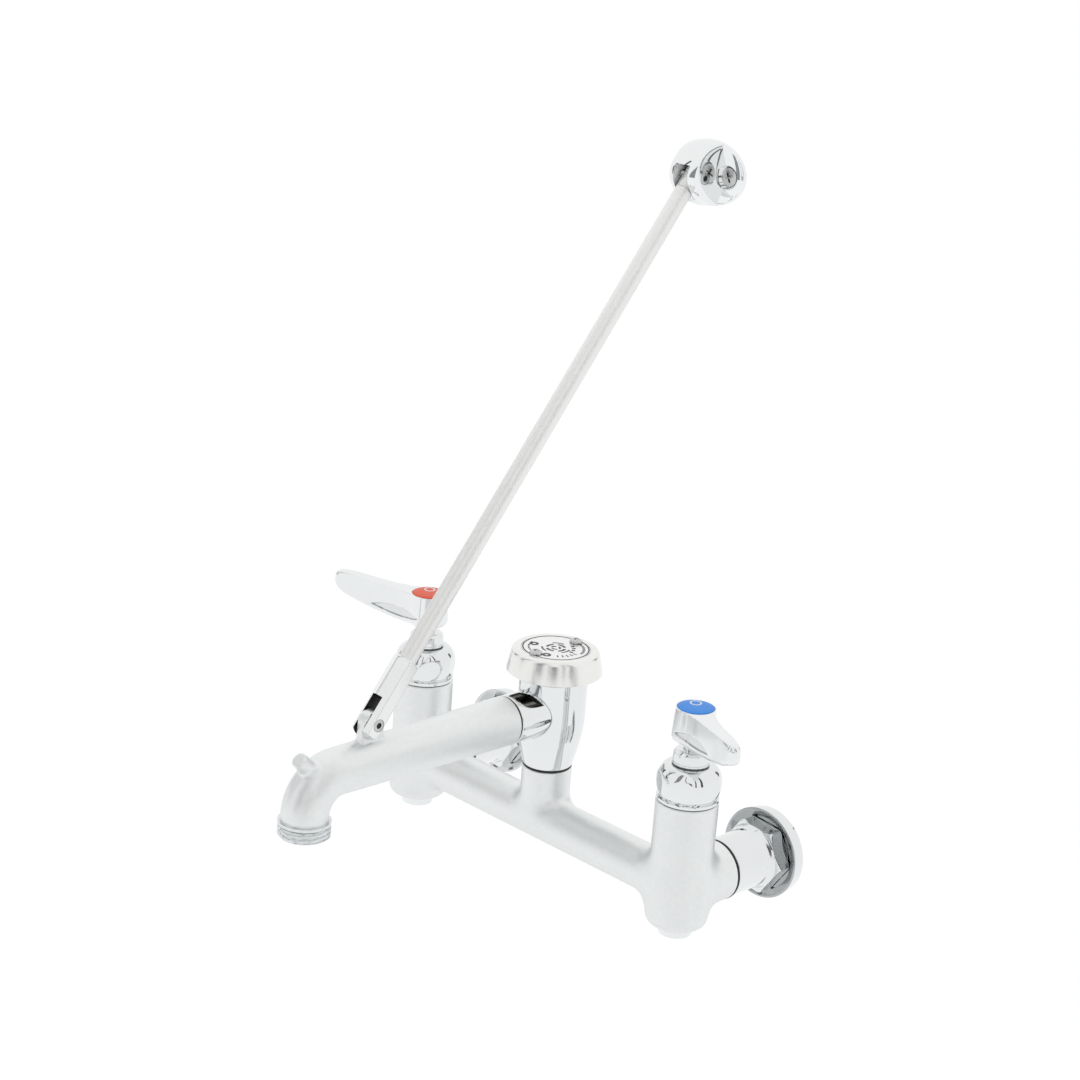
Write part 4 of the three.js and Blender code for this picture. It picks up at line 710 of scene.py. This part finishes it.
screw_steel = steel("screw_steel", (0.60, 0.605, 0.60), 0.2)
lever_chrome = polished_chrome("lever_chrome", 0.84, 0.17)
# The lens walls take a dark chrome and its floor a less dark one: painted shade in the sunk lens.
lens_wall_painted_shade = polished_chrome("lens_wall_painted_shade", 0.62, 0.2)
lens_floor_painted_shade = polished_chrome("lens_floor_painted_shade", 0.76, 0.2)
red = cap_enamel("red_cap", (0.86, 0.10, 0.03), (0.82, 0.085, 0.026))
blue = cap_enamel("blue_cap", (0.035, 0.29, 0.86), (0.026, 0.265, 0.80))
mark_paint = pale_paint()
for (side, x), angle, enamel, slot_name in zip(
        SIDES, (-157.5, -28.3), (red, blue), ("red_enamel", "blue_enamel")):
    body = f"{side}_handle"
    turned = at_mm(x, VALVE_Y, 0, angle, "Z")
    handle = lever(f"{side}_cast_lever", turned)
    dressed(handle, lever_chrome, body, "polished_chrome", f"{side}_lever_handle", crease=40)
    for low, high, finish in ((0.01, 0.99, lens_wall_painted_shade), (0.99, 2, lens_floor_painted_shade)):
        paint_shade_on_faces(
            handle, finish, lambda spot, facing: low < lens_step(spot.x, spot.z) < high, turned)
    cap = spun(f"{side}_snap_cap", fillets(
        (0, 95.5), (9.5, 95.5, 0.2), (9.5, 98.8, 0.25), (6, 99.0, 5), (0, 99.05)), at=turned)
    dressed(cap, enamel, body, slot_name, f"{side}_index_cap")
    mark = spun(f"{side}_cap_mark", hoop(2.3, 3.2, 98.7, 99.1), 64,
                at=at_mm(x - 3.2, VALVE_Y + 3.2, 0))
    dressed(mark, mark_paint, body, slot_name)
    stem = spun(f"{side}_stem", fillets((0, 70), (4.5, 70), (4.5, 83, 0.3), (0, 83)), 64, at=turned)
    dressed(stem, chrome, body, "brass")

# ---------------------------------------- inside the valves
# The cartridges, discs and seals never show on the finished faucet. They keep the shapes of
# the model and take plain workshop finishes.


def white_ceramic():
    finish = finish_of("white_ceramic", (0.88, 0.87, 0.83), 0.2, 0.0)
    speck = noise_on(finish, 800, 4)
    toned(finish, speck, (0.82, 0.81, 0.77), (0.91, 0.90, 0.86))
    relief(finish, speck, 0.01)
    return finish


def moulded_white():
    finish = finish_of("moulded_white", (0.80, 0.78, 0.72), 0.42, 0.0)
    skin = noise_on(finish, 900)
    toned(finish, skin, (0.76, 0.74, 0.68), (0.84, 0.82, 0.77))
    relief(finish, skin, 0.03)
    return finish


ceramic = white_ceramic()
inner = {
    "breaker_float": moulded_white(), "float_seal": rubber,
    "breaker_bonnet": steel("dark_bonnet", (0.10, 0.10, 0.10), 0.4),
}
for side, x in SIDES:
    for node, finish in (
            ("seat_seal", rubber), ("fixed_disc", ceramic), ("rotating_disc", ceramic),
            ("cartridge_housing", brass), ("cartridge_stem", brass), ("handle_screw", screw_steel)):
        inner[f"{side}_{node}"] = finish
for node, finish in inner.items():
    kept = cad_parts[node]
    kept.data.materials.clear()
    kept.data.materials.append(finish)

# ---------------------------------------- vacuum breaker
# A polished bell screws into the boss over a black ring, with a round outlet boss on its
# front. A satin hood covers the air holes on top, held by two screws through a printed plate.

BELL_FOOT, BELL_TOP = 32.3, 83.0
BELL_FOOT_R, BELL_R = 13.5, 18.6
SPOUT_Z, OUTLET_FACE, OUTLET_R = 64.4, -104.4, 13.2
HOOD_FOOT, HOOD_CEILING, HOOD_TOP, HOOD_MOUTH_R = 85.6, 96.1, 98.2, 24.7

centre = at_mm(0, VALVE_Y, 0)
bell_line = [(0, 17), (11.2, 17), (11.2, BELL_FOOT), (BELL_FOOT_R - 0.3, BELL_FOOT),
             (BELL_FOOT_R, BELL_FOOT + 0.3)]
for i in range(1, 48):
    swell = sin(min(i / 48 / 0.6, 1) * pi / 2)
    bell_line.append((
        BELL_FOOT_R + (BELL_R - BELL_FOOT_R) * swell, BELL_FOOT + (BELL_TOP - BELL_FOOT) * i / 48))
bell_line += [(BELL_R, BELL_TOP - 0.3), (BELL_R - 0.3, BELL_TOP), (0, BELL_TOP)]
bell = spun("breaker_bell", bell_line, 144, at=centre)
reach = VALVE_Y - OUTLET_FACE
forward = at_mm(0, VALVE_Y, SPOUT_Z, 90)
groove = spun("groove", hoop(OUTLET_R - 0.05, 13.75, 8, reach - 2), 128, at=forward)
machined(groove, spun("skin", [(max(r - 0.45, 0), z) for r, z in bell_line], 144, at=centre))
machined(bell, groove)
boss = spun("outlet_boss", fillets(
    (0, 2), (OUTLET_R, 2), (OUTLET_R, reach, 0.6), (0, reach)), 128, at=forward)
machined(bell, boss, operation="UNION")
machined(
    bell,
    drill(10, (7.5, 52), (15.5, 90), sides=96, at=centre),
    drill(0, (8, reach - 12), (10.8, reach + 5), sides=96, at=forward),
)
dressed(bell, chrome, "faucet_body", "polished_chrome", "breaker_body")
o_ring("breaker_ring", 11.8, 13.45, 31.05, 32.25, centre, rubber, "breaker_o_ring")
o_ring("outlet_ring", 10.8, 13.1, reach + 0.05, reach + 1.25, forward, rubber, "spout_o_ring")


def satin_nickel():
    finish = finish_of("satin_nickel", (0.85, 0.845, 0.825), 0.2)
    lines = noise_on(finish, 600, 3, (8, 8, 0.3))
    toned(finish, noise_on(finish, 60), (0.835, 0.83, 0.81), (0.865, 0.86, 0.84))
    dulled(finish, lines, 0.19, 0.25)
    relief(finish, lines, 0.002)
    return finish


def drawn_steel(name, colour, roughness, turn=(0, 0, 0), stretch=(1, 1, 60), depth=0.0025):
    """Steel or chrome with fine lines along its length."""
    finish = finish_of(name, colour, roughness)
    lines = noise_on(finish, 900, 3, stretch, turn)
    toned(finish, lines, tuple(0.985 * part for part in colour), colour)
    dulled(finish, lines, roughness * 0.95, roughness * 1.05)
    relief(finish, lines, depth)
    return finish


hood = spun("breaker_hood_cap", fillets(
    (0, HOOD_CEILING), (22.1, HOOD_CEILING, 0.8), (23.0, 94.0, 2),
    (HOOD_MOUTH_R, HOOD_FOOT, 0.2), (25.9, HOOD_FOOT, 0.3), (23.4, HOOD_TOP, 4.2),
    (18.7, HOOD_TOP, 0.25), (18.7, 97.3), (0, 97.3), steps=9), 144, at=centre)
dressed(hood, satin_nickel(), "faucet_body", "satin_nickel", "breaker_hood", crease=50)


# The faces under the hood's ceiling take dark steel: painted shade under the hood.
def under_hood_painted_shade(spot, facing):
    below = spot.z < HOOD_CEILING + 0.2 and facing.z < 0.05
    return below and hypot(spot.x, spot.y) < HOOD_MOUTH_R


paint_shade_on_faces(hood, steel("hood_underside_painted_shade", (0.30, 0.30, 0.27), 0.35), under_hood_painted_shade, centre)

SCREW_Y = 15
PLATE_R, PLATE_Z = 18.5, HOOD_TOP
plate = spun("breaker_top_plate", fillets(
    (0, 97.4), (PLATE_R, 97.4), (PLATE_R, PLATE_Z, 0.2), (0, PLATE_Z)), 144, at=centre)
for y in (-SCREW_Y, SCREW_Y):
    machined(plate, drill(90, (1.7, 110), sides=32, at=at_mm(0, VALVE_Y + y, 0)))
plate_steel = drawn_steel("plate_steel", (0.86, 0.865, 0.86), 0.22, stretch=(60, 1, 1))
dressed(plate, plate_steel, "faucet_body", "satin_steel", "hood_top_plate")


def print_black():
    finish = finish_of("print_black", (0.02, 0.02, 0.022), 0.4, 0.0)
    toned(finish, noise_on(finish, 700), (0.012, 0.012, 0.014), (0.05, 0.05, 0.052))
    relief(finish, noise_on(finish, 1500, 2), 0.02)
    return finish


PRINT_BOTTOM, PRINT_TOP = PLATE_Z - 0.05, PLATE_Z + 0.04


def arc_mark(radius, width, start, end, steps=4):
    """A thin raised mark along an arc, its angles in degrees."""
    points, faces = [], []
    for i in range(steps + 1):
        angle = radians(start + (end - start) * i / steps)
        for r in (radius - width / 2, radius + width / 2):
            for z in (PRINT_BOTTOM, PRINT_TOP):
                points.append((r * cos(angle), r * sin(angle), z))
    for a in range(0, 4 * steps, 4):
        for p, q in ((0, 1), (3, 2), (1, 3), (2, 0)):
            faces.append((a + p, a + q, a + 4 + q, a + 4 + p))
    last = 4 * steps
    faces += [(0, 2, 3, 1), (last, last + 1, last + 3, last + 2)]
    return mesh_piece("mark", points, faces)


marks = [arc_mark(17.7, 0.8, 0, 359.9, 144)]
for radius, width, sweep, steps, starts in (
    (15.0, 1.5, 3.6, 4, range(18, 84, 6)), (12.6, 2.6, 3.6, 3, range(-42, 18, 12)),
    (9.6, 2.0, 9, 4, range(8, 80, 18)), (14.6, 1.0, 6, 4, range(196, 250, 9)),
    (2.2, 1.2, 84, 16, (10, 130, 250)), (4.9, 1.5, 62, 16, (-30, 60, 150, 240)),
    (7.4, 1.0, 50, 12, (-20, 100, 220)),
):
    marks += [arc_mark(radius, width, start, start + sweep, steps) for start in starts]
for part in marks:
    part.data.transform(centre)
for angle in (radians(205), radians(292)):
    marks.append(spun("dot", hoop(0.9, 2.5, PRINT_BOTTOM, PRINT_TOP), 40, at=at_mm(
        12.4 * cos(angle), VALVE_Y + 12.4 * sin(angle), 0)))
dressed(joined("plate_marks", marks), print_black(), "faucet_body", "black_rubber")


def cross_recess(span, width, depth, top, at):
    """The cutters for a cross recess, whose wings narrow downwards."""
    ends = ((top - depth, span / 4, 0.3 * width), (top + 0.4, span / 2, width / 2))
    parts = []
    for turn in (24, 114):
        wings = six_sided([
            (x * reach, y * wing, z) for x in (-1, 1) for y in (-1, 1) for z, reach, wing in ends])
        wings.data.transform(at @ Matrix.Rotation(radians(turn), 4, "Z"))
        parts.append(wings)
    return parts


for name, y in (("front_hood_screw", -SCREW_Y), ("rear_hood_screw", SCREW_Y)):
    place = at_mm(0, VALVE_Y + y, 0)
    screw = spun(f"{name}_cross", fillets(
        (0, 88.3), (1.5, 88.3, 0.3), (1.5, 98.3), (3.5, 98.3, 0.15), (3.5, 99.3, 0.8),
        (1.8, 100.25, 1.5), (0, 100.4)), 64, at=place)
    machined(screw, *cross_recess(4.2, 1.0, 1.1, 100.4, place))
    dressed(screw, screw_steel, "faucet_body", "screw_steel", name)

# ---------------------------------------- spout
# The spout is a second sand casting, bent down at its end, with a peg for the bail of a pail
# on the bend and a flat lug for the support rod on top. A hose thread is cut on its mouth.

BEND_Y, BEND_R = -220.8, 19.0
MOUTH_Y, MOUTH_Z, MOUTH_TOP, MOUTH_BORE = -239.8, 34.5, 43.5, 9.0
THREAD_ROOT, THREAD_CREST, THREAD_PITCH, THREAD_TURNS = 12.3, 13.5, 2.3, 2.6
COLLAR_FROM = 7.0
ROOT_Y = -105.7
SPOUT_R, ROOT_SWELL = 12.1, 1.2
PIVOT_Y, PIVOT_Z = -199.6, 85.9
LUG_R, LUG_SPREAD, LUG_HALF, LUG_EDGE = 6.35, 1.3, 3.15, 0.5
PEG_AT, PEG_R, PEG_REACH = radians(30.4), 4.1, 20.8
PEG_ROOT = np.array((
    0, BEND_Y - BEND_R * sin(PEG_AT), SPOUT_Z - BEND_R * (1 - cos(PEG_AT))))
PEG_TIP = PEG_ROOT + PEG_REACH * np.array((0, -sqrt(0.5), sqrt(0.5)))


def spout_form(points):
    """How far each point is outside the spout: run, bend, mouth, then the peg and the lug."""
    x, y, z = points.T
    along = np.clip(y, BEND_Y, ROOT_Y + 12)
    straight = np.sqrt(x ** 2 + (z - SPOUT_Z) ** 2 + (y - along) ** 2)
    form = straight - (SPOUT_R + ROOT_SWELL * (along - BEND_Y) / (ROOT_Y - BEND_Y))
    bend_z = SPOUT_Z - BEND_R
    angle = np.clip(np.arctan2(BEND_Y - y, z - bend_z), 0, pi / 2)
    near_y = BEND_Y - BEND_R * np.sin(angle)
    near_z = bend_z + BEND_R * np.cos(angle)
    form = np.minimum(form, np.sqrt(x ** 2 + (y - near_y) ** 2 + (z - near_z) ** 2) - SPOUT_R)
    down = np.clip(z, MOUTH_Z + 4, bend_z)
    form = np.minimum(form, np.sqrt(x ** 2 + (y - MOUTH_Y) ** 2 + (z - down) ** 2) - SPOUT_R)
    left = np.clip((PEG_TIP - points) @ (PEG_TIP - PEG_ROOT) / PEG_REACH, 0, PEG_REACH)
    form = run_together(form, bar(points, PEG_ROOT, PEG_TIP, PEG_R, 0.7) - 0.02 * left, 2.4)
    rise = np.clip(z, PIVOT_Z - 14, PIVOT_Z)
    disc = np.hypot(y - PIVOT_Y, z - rise) - (LUG_R + LUG_SPREAD * (PIVOT_Z - rise) / 14) + LUG_EDGE
    cheek = np.abs(x) - LUG_HALF + LUG_EDGE
    inward = np.minimum(np.maximum(disc, cheek), 0)
    lug = inward + np.hypot(np.maximum(disc, 0), np.maximum(cheek, 0)) - LUG_EDGE
    return run_together(form, lug, 0.9)


rough = [
    solid_bar((0, ROOT_Y + 12, SPOUT_Z), (0, BEND_Y - 6, SPOUT_Z), 12.3),
    solid_bar((0, BEND_Y + 8, SPOUT_Z - 3), (0, MOUTH_Y - 2, 46), 12.3),
    solid_bar((0, MOUTH_Y, 58), (0, MOUTH_Y, MOUTH_Z - 6), 12.2),
    solid_bar(PEG_ROOT, PEG_TIP, 4.2),
    block((-3, PIVOT_Y - 6, SPOUT_Z), (3, PIVOT_Y + 6, PIVOT_Z + 5.5)),
]
spout = poured("cast_spout", rough, spout_form, 0.8)
machined(
    spout,
    block((-30, ROOT_Y, 20), (30, ROOT_Y + 40, 110)),
    block((-30, MOUTH_Y - 30, 0), (30, MOUTH_Y + 30, MOUTH_TOP - 0.4)),
    drill(-10, (2.55, 10), at=at_mm(0, PIVOT_Y, PIVOT_Z, 90, "Y")),
)
dressed(spout, cast, "faucet_body", "rough_chrome", "spout")


def threaded(angle, radius, z):
    """The outside of the mouth: a thread cut along a helix, with a collar above it."""
    if radius < THREAD_ROOT:
        return radius
    z -= MOUTH_Z
    depth = THREAD_CREST - THREAD_ROOT
    wave = (z - 1.6) / THREAD_PITCH - angle / (2 * pi)
    ridge = min(max(1.5 * (1 - abs(2 * (wave % 1) - 1)) - 0.25, 0), 1)
    cut = 0 < z - 0.9 < THREAD_TURNS * THREAD_PITCH + 0.6
    r = THREAD_ROOT + depth * (ridge if cut else 0)
    if z > COLLAR_FROM:
        r = 12.4 + 1.1 * min((z - COLLAR_FROM) / 0.4, 1)
    lead = min(max(z, 0), 1)
    return min(r, THREAD_ROOT - 0.7 + 0.7 * lead + depth * lead)


rim = [(THREAD_CREST, MOUTH_Z + (MOUTH_TOP - MOUTH_Z) * row / 48) for row in range(49)]
rim += [(MOUTH_BORE, MOUTH_TOP), (MOUTH_BORE, MOUTH_Z + 0.4), (MOUTH_BORE + 0.4, MOUTH_Z)]
mouth = spun("spout_hose_thread", rim, 96, threaded, at_mm(0, MOUTH_Y, 0))
thread_chrome = steel("thread_chrome", (0.76, 0.78, 0.785), 0.16)
dressed(mouth, thread_chrome, "faucet_body", "rough_chrome", crease=30)

# ---------------------------------------- support rod
# A fork cut from hexagon bar straddles the lug on a shouldered screw. A satin steel tube is
# pressed into the fork, and its solid end is drilled for the screw of the wall bracket.

ROD_ANGLE, ROD_LENGTH = 38.06, 330.8
ROD_R, ROD_BORE, PIN_R = 4.75, 3.55, 2.5
FORK_FLATS, FORK_CORNER, FORK_NOSE, NOSE_FLAT = 12.7, 7.2, 9.3, 8.8
leaning = at_mm(0, PIVOT_Y, PIVOT_Z, -ROD_ANGLE)
across = at_mm(0, 0, 0, 90, "Y")


def fork():
    """Hexagon bar with a domed nose, slotted for the lug and bored for the rod and the screw."""
    line = [(0, -NOSE_FLAT)]
    flat_nose = sqrt(FORK_NOSE ** 2 - NOSE_FLAT ** 2)
    for i in range(13):
        radius = flat_nose + (FORK_CORNER - flat_nose) * i / 12
        line.append((radius, -sqrt(FORK_NOSE ** 2 - radius ** 2)))
    line += [(FORK_CORNER, 35.0), (6.4, 35.8), (0, 35.8)]
    piece = spun("rod_fork", stepped(line, 0.8), 240, lambda angle, radius, height: soft_least(
        radius, flat_reach(angle, FORK_FLATS), 0.08) if radius > 5.8 else radius)
    machined(
        piece,
        block((-3.45, -20, -12), (3.45, 20, 13)),
        drill(21.7, (4.82, 40), sides=64),
        drill(-12, (PIN_R, 4.6), (3.35, 12), at=across),
    )
    piece.data.transform(leaning)
    return piece


def socket_screw(name, face, end, at):
    """A shouldered screw along X, with a hexagon socket in its head, and a near-black disc down in
    the socket that paints its shade.
    """
    screw = spun(name, fillets(
        (0, -end), (2.4, -end, 0.3), (2.4, face - 1.6), (3.2, face - 1.6),
        (3.2, face + 0.1, 0.3), (0, face + 0.1)), 64)
    socket = spun("socket", [
        (0, face - 1.4), (1.75, face - 1.2), (1.75, face + 2), (0, face + 2)], 6)
    machined(screw, socket)
    # The floor piece is a near-black disc down in the socket: painted shade.
    floor = spun(f"{name}_floor", [
        (0, face - 1.3), (1.7, face - 1.1), (1.7, face - 0.7), (0, face - 0.7)], 6)
    for piece in (screw, floor):
        piece.data.transform(at @ across)
    return screw, floor


fork_chrome = drawn_steel("fork_chrome", (0.83, 0.845, 0.835), 0.13, (-ROD_ANGLE, 0, 0))
# Near-black steel for painted shade, down in the hexagon sockets and on the faces inside the fork's
# slot.
painted_shade_black = steel("painted_shade_black", (0.06, 0.06, 0.065), 0.45)
clevis = dressed(fork(), fork_chrome, "brace", "polished_chrome", "rod_clevis")
# The faces inside the fork's slot take near-black steel: painted shade in the slot.
paint_shade_on_faces(clevis, painted_shade_black, lambda spot, facing: abs(spot.x) < 3.5 and spot.z < 13.1, leaning)
screw, floor = socket_screw("lower_socket_screw", 6.35, 6.0, leaning)
dressed(screw, screw_steel, "brace", "screw_steel", "lower_pivot_screw")
dressed(floor, painted_shade_black, "brace", "screw_steel")

rod_steel = drawn_steel(
    "rod_steel", (0.88, 0.88, 0.865), 0.43, (-ROD_ANGLE, 0, 0), (1, 1, 90), 0.00005)
tube_end, eye_end = ROD_LENGTH - 9, ROD_LENGTH + 5.4
tube = spun("support_tube", fillets(
    (ROD_BORE, 21.8), (ROD_R, 21.8), (ROD_R, tube_end, 0.15), (ROD_BORE, tube_end)), at=leaning)
dressed(tube, rod_steel, "brace", "satin_steel", "support_rod")
tip = spun("rod_eye", fillets(
    (0, ROD_LENGTH - 23), (3.45, ROD_LENGTH - 23), (3.45, ROD_LENGTH - 8.9),
    (ROD_R, ROD_LENGTH - 8.9, 0.15), (ROD_R, eye_end, 2.4), (0, eye_end)))
machined(tip, drill(-12, (PIN_R, 12), at=at_mm(0, 0, ROD_LENGTH, 90, "Y")))
tip.data.transform(leaning)
dressed(tip, rod_steel, "brace", "satin_steel", "rod_end")

# ---------------------------------------- wall bracket
# A die-cast oval plate with a tall ridge across it, polished and plated. The end of the rod
# turns in a slot up the ridge, and on each side of it a countersunk screw goes to the wall.

LEAN = radians(ROD_ANGLE)
HINGE = (0, PIVOT_Y + ROD_LENGTH * sin(LEAN), PIVOT_Z + ROD_LENGTH * cos(LEAN))
BACK, LIFT, PLATE_FACE = 15.0, 0.9, 11.0
OVAL_X, OVAL_Z, RIM = 25, 17.5, 2.4
FLANK = 9.0
POCKET_R = 6.4
SCREW_X = 15.7


def eased_block(low, high, rounding):
    """A cutting block with its edges rounded."""
    piece = block(low, high)
    edge = piece.modifiers.new("edge", "BEVEL")
    edge.width = rounding * 0.001
    edge.segments = 4
    return settled(piece)


def oval_cap(name, height):
    """An oval dome on an upright rim, standing on the wall."""
    line = [(0, 0), (0.97, 0), (1, 0.75), (1, RIM)]
    for i in range(1, 40):
        angle = radians(90 * i / 40)
        line.append((cos(angle) ** 1.3, RIM + height * sin(angle)))
    cap = spun(name, line + [(0, RIM + height)], 160)
    cap.data.transform(Matrix.Diagonal((OVAL_X, OVAL_Z, 1, 1)))
    cap.data.transform(at_mm(0, BACK, LIFT, 90))
    return cap


def bracket():
    """The plate with its ridge, slotted for the rod, sunk for the screws and drilled across."""
    ridge = oval_cap("ridge", 23.4)
    left, right = block((-40, -40, -40), (-FLANK, 40, 40)), block((FLANK, -40, -40), (40, 40, 40))
    machined(ridge, left, right)
    piece = machined(oval_cap("ridged_wall_bracket", 5.5), ridge, operation="UNION")
    sink = [
        (0, -PLATE_FACE - 8), (2.6, -PLATE_FACE - 8), (2.6, -PLATE_FACE - 2.4),
        (5.3, -PLATE_FACE), (POCKET_R, -PLATE_FACE), (POCKET_R, 0), (0, 0)]
    machined(
        piece,
        eased_block((-5.1, -40, -40), (5.1, 6.5, 6.6), 0.8),
        spun("sink", sink, 64, at=at_mm(-SCREW_X, 0, LIFT, 90)),
        spun("sink", sink, 64, at=at_mm(SCREW_X, 0, LIFT, 90)),
        drill(-11, (PIN_R, 7.2), (3.4, 12), at=across),
    )
    piece.data.transform(at_mm(*HINGE))
    return piece


bracket_chrome = polished_chrome("bracket_chrome", 0.85, 0.05)
dressed(bracket(), bracket_chrome, "bracket", "polished_chrome", "wall_bracket", crease=40)
# The socket's floor disc is painted shade.
screw, floor = socket_screw("upper_socket_screw", FLANK, 8.6, at_mm(*HINGE))
dressed(screw, screw_steel, "bracket", "screw_steel", "upper_pivot_screw")
dressed(floor, painted_shade_black, "bracket", "screw_steel")
for name, sign in (("left_wall_screw", -1), ("right_wall_screw", 1)):
    place = at_mm(*HINGE) @ at_mm(sign * SCREW_X, PLATE_FACE, LIFT, 90)
    screw = spun(f"{name}_countersunk", fillets(
        (0, -3.7), (2.3, -3.7, 0.2), (2.3, -2.35), (5.05, 0, 0.2), (5.05, 0.15, 0.1),
        (0, 0.7)), 64, at=place)
    machined(screw, *cross_recess(6.2, 1.3, 2.2, 0.7, place))
    dressed(screw, screw_steel, "bracket", "screw_steel", name)

# ---------------------------------------- studio
# A white sweep below and behind, a broad soft light overhead and one from the left, and dark
# gaps between the studio's panels that only the polished metal shows.

FLOOR_Z, FLOOR_HALF = -620, 60000
CAMERA_TURN = 44.6
GAP_Y, GAP_FOOT, GAP_AWAY = -70, 80, 1500


def seen_white(tree):
    """One for the camera's rays and those that mirrors and glass send on, nought for others."""
    path = tree.nodes.new("ShaderNodeLightPath")
    seen = path.outputs["Is Camera Ray"]
    for kind in ("Is Glossy Ray", "Is Transmission Ray"):
        either = tree.nodes.new("ShaderNodeMath")
        either.operation = "MAXIMUM"
        tree.links.new(seen, either.inputs[0])
        tree.links.new(path.outputs[kind], either.inputs[1])
        seen = either.outputs[0]
    return seen


def shared(tree, share, first, second, socket):
    """Feeds a socket with the first shader, and with a share of the second over it."""
    mix = tree.nodes.new("ShaderNodeMixShader")
    tree.links.new(share, mix.inputs["Fac"])
    tree.links.new(first.outputs[0], mix.inputs[1])
    tree.links.new(second.outputs[0], mix.inputs[2])
    tree.links.new(mix.outputs[0], socket)


world = bpy.data.worlds.new("white_studio")
bpy.context.scene.world = world
world.use_nodes = True
tree = world.node_tree
tree.nodes.clear()
soft = tree.nodes.new("ShaderNodeBackground")
fill(soft, {"Color": (0.93, 0.96, 1.0, 1), "Strength": 0.62})
white = tree.nodes.new("ShaderNodeBackground")
fill(white, {"Color": (1, 1, 1, 1), "Strength": 1.0})
out = tree.nodes.new("ShaderNodeOutputWorld")
shared(tree, seen_white(tree), soft, white, out.inputs["Surface"])

corners = ((-1, -1), (1, -1), (1, 1), (-1, 1))
sweep = [(FLOOR_HALF * x, FLOOR_HALF * y, FLOOR_Z) for x, y in corners]
floor = mesh_piece("white_floor", sweep, [(0, 1, 2, 3)])
paper = finish_of("white_paper", (0.9, 0.9, 0.9), 0.8, 0.0)
tree = paper.node_tree
glow = tree.nodes.new("ShaderNodeEmission")
fill(glow, {"Strength": 1.09})
share = tree.nodes.new("ShaderNodeMath")
share.operation = "MULTIPLY"
share.inputs[1].default_value = 0.85
tree.links.new(seen_white(tree), share.inputs[0])
shared(tree, share.outputs[0], surface_of(paper), glow,
       tree.nodes["Material Output"].inputs["Surface"])
floor.data.materials.append(paper)


def cloth(name, tone):
    """Cloth for a sheet that only reflections see."""
    return finish_of(name, (tone, tone, 1.02 * tone), 0.9, 0.0)


dark, grey, pale = cloth("dark_cloth", 0.09), cloth("grey_cloth", 0.2), cloth("pale_cloth", 0.42)
for number, (offset, width, high, material) in enumerate((
    (-121, 11, 25, grey), (-90, 9, 60, grey), (-38, 17, 66, pale), (-34, 3, 56, dark),
    (-13, 3, 58, grey), (0, 15, 14, grey), (23, 4, 58, dark), (43, 7, 80, dark),
    (125, 11, 22, grey),
)):
    corners = []
    for edge, elevation in ((-1, 0), (1, 0), (1, high), (-1, high)):
        a = radians(CAMERA_TURN + offset + edge * width / 2)
        e = radians(elevation)
        corners.append((
            GAP_AWAY * sin(a) * cos(e),
            GAP_Y - GAP_AWAY * cos(a) * cos(e),
            GAP_FOOT + GAP_AWAY * sin(e)))
    sheet = mesh_piece(f"dark_gap_{number}", corners, [(0, 1, 2, 3)])
    sheet.data.materials.append(material)
    sheet.visible_camera = sheet.visible_shadow = sheet.visible_diffuse = False


def soft_box(name, place, aim, size, power, colour=(1, 1, 1)):
    lamp = bpy.data.lights.new(name, "AREA")
    lamp.shape = "RECTANGLE"
    lamp.size, lamp.size_y = size
    lamp.energy = power
    lamp.color = colour
    holder = placed(name, lamp)
    holder.location = place
    holder.rotation_euler = (Vector(aim) - Vector(place)).to_track_quat("-Z", "Y").to_euler()
    holder.visible_glossy = False


soft_box("overhead_box", (0.1, -0.3, 1.9), (0, -0.1, 0.05), (2.4, 2.0), 9)
soft_box("left_box", (-1.3, -1.3, 0.9), (0, -0.1, 0.05), (0.7, 1.1), 6, (0.97, 0.98, 1.0))

# ---------------------------------------- camera
# The picture is taken with a long lens from the front, off to the cold side and above, and
# the camera leans over by four degrees.

CAMERA_LIFT, CAMERA_ROLL = 18.12, 4.23
CAMERA_AWAY, FOCAL_LENGTH = 1.34756, 83.58
CAMERA_AIM = (-28.51, -60, 148.76)

camera = bpy.data.cameras.new("camera")
camera.lens = FOCAL_LENGTH
camera.sensor_width = 36
camera.clip_start, camera.clip_end = 0.05, 50
eye = placed("camera", camera)
turn, lift, roll = (radians(angle) for angle in (CAMERA_TURN, CAMERA_LIFT, CAMERA_ROLL))
back = Vector((sin(turn) * cos(lift), -cos(turn) * cos(lift), sin(lift)))
level = Vector((cos(turn), sin(turn), 0))
upward = back.cross(level)
right = level * cos(roll) + upward * sin(roll)
top = -level * sin(roll) + upward * cos(roll)
pose = Matrix((right, top, back)).transposed().to_4x4()
pose.translation = Vector(CAMERA_AIM) * 0.001 + back * CAMERA_AWAY
eye.matrix_world = pose
bpy.context.scene.camera = eye
bpy.context.scene.view_settings.view_transform = "Standard"

bpy.context.view_layer.update()
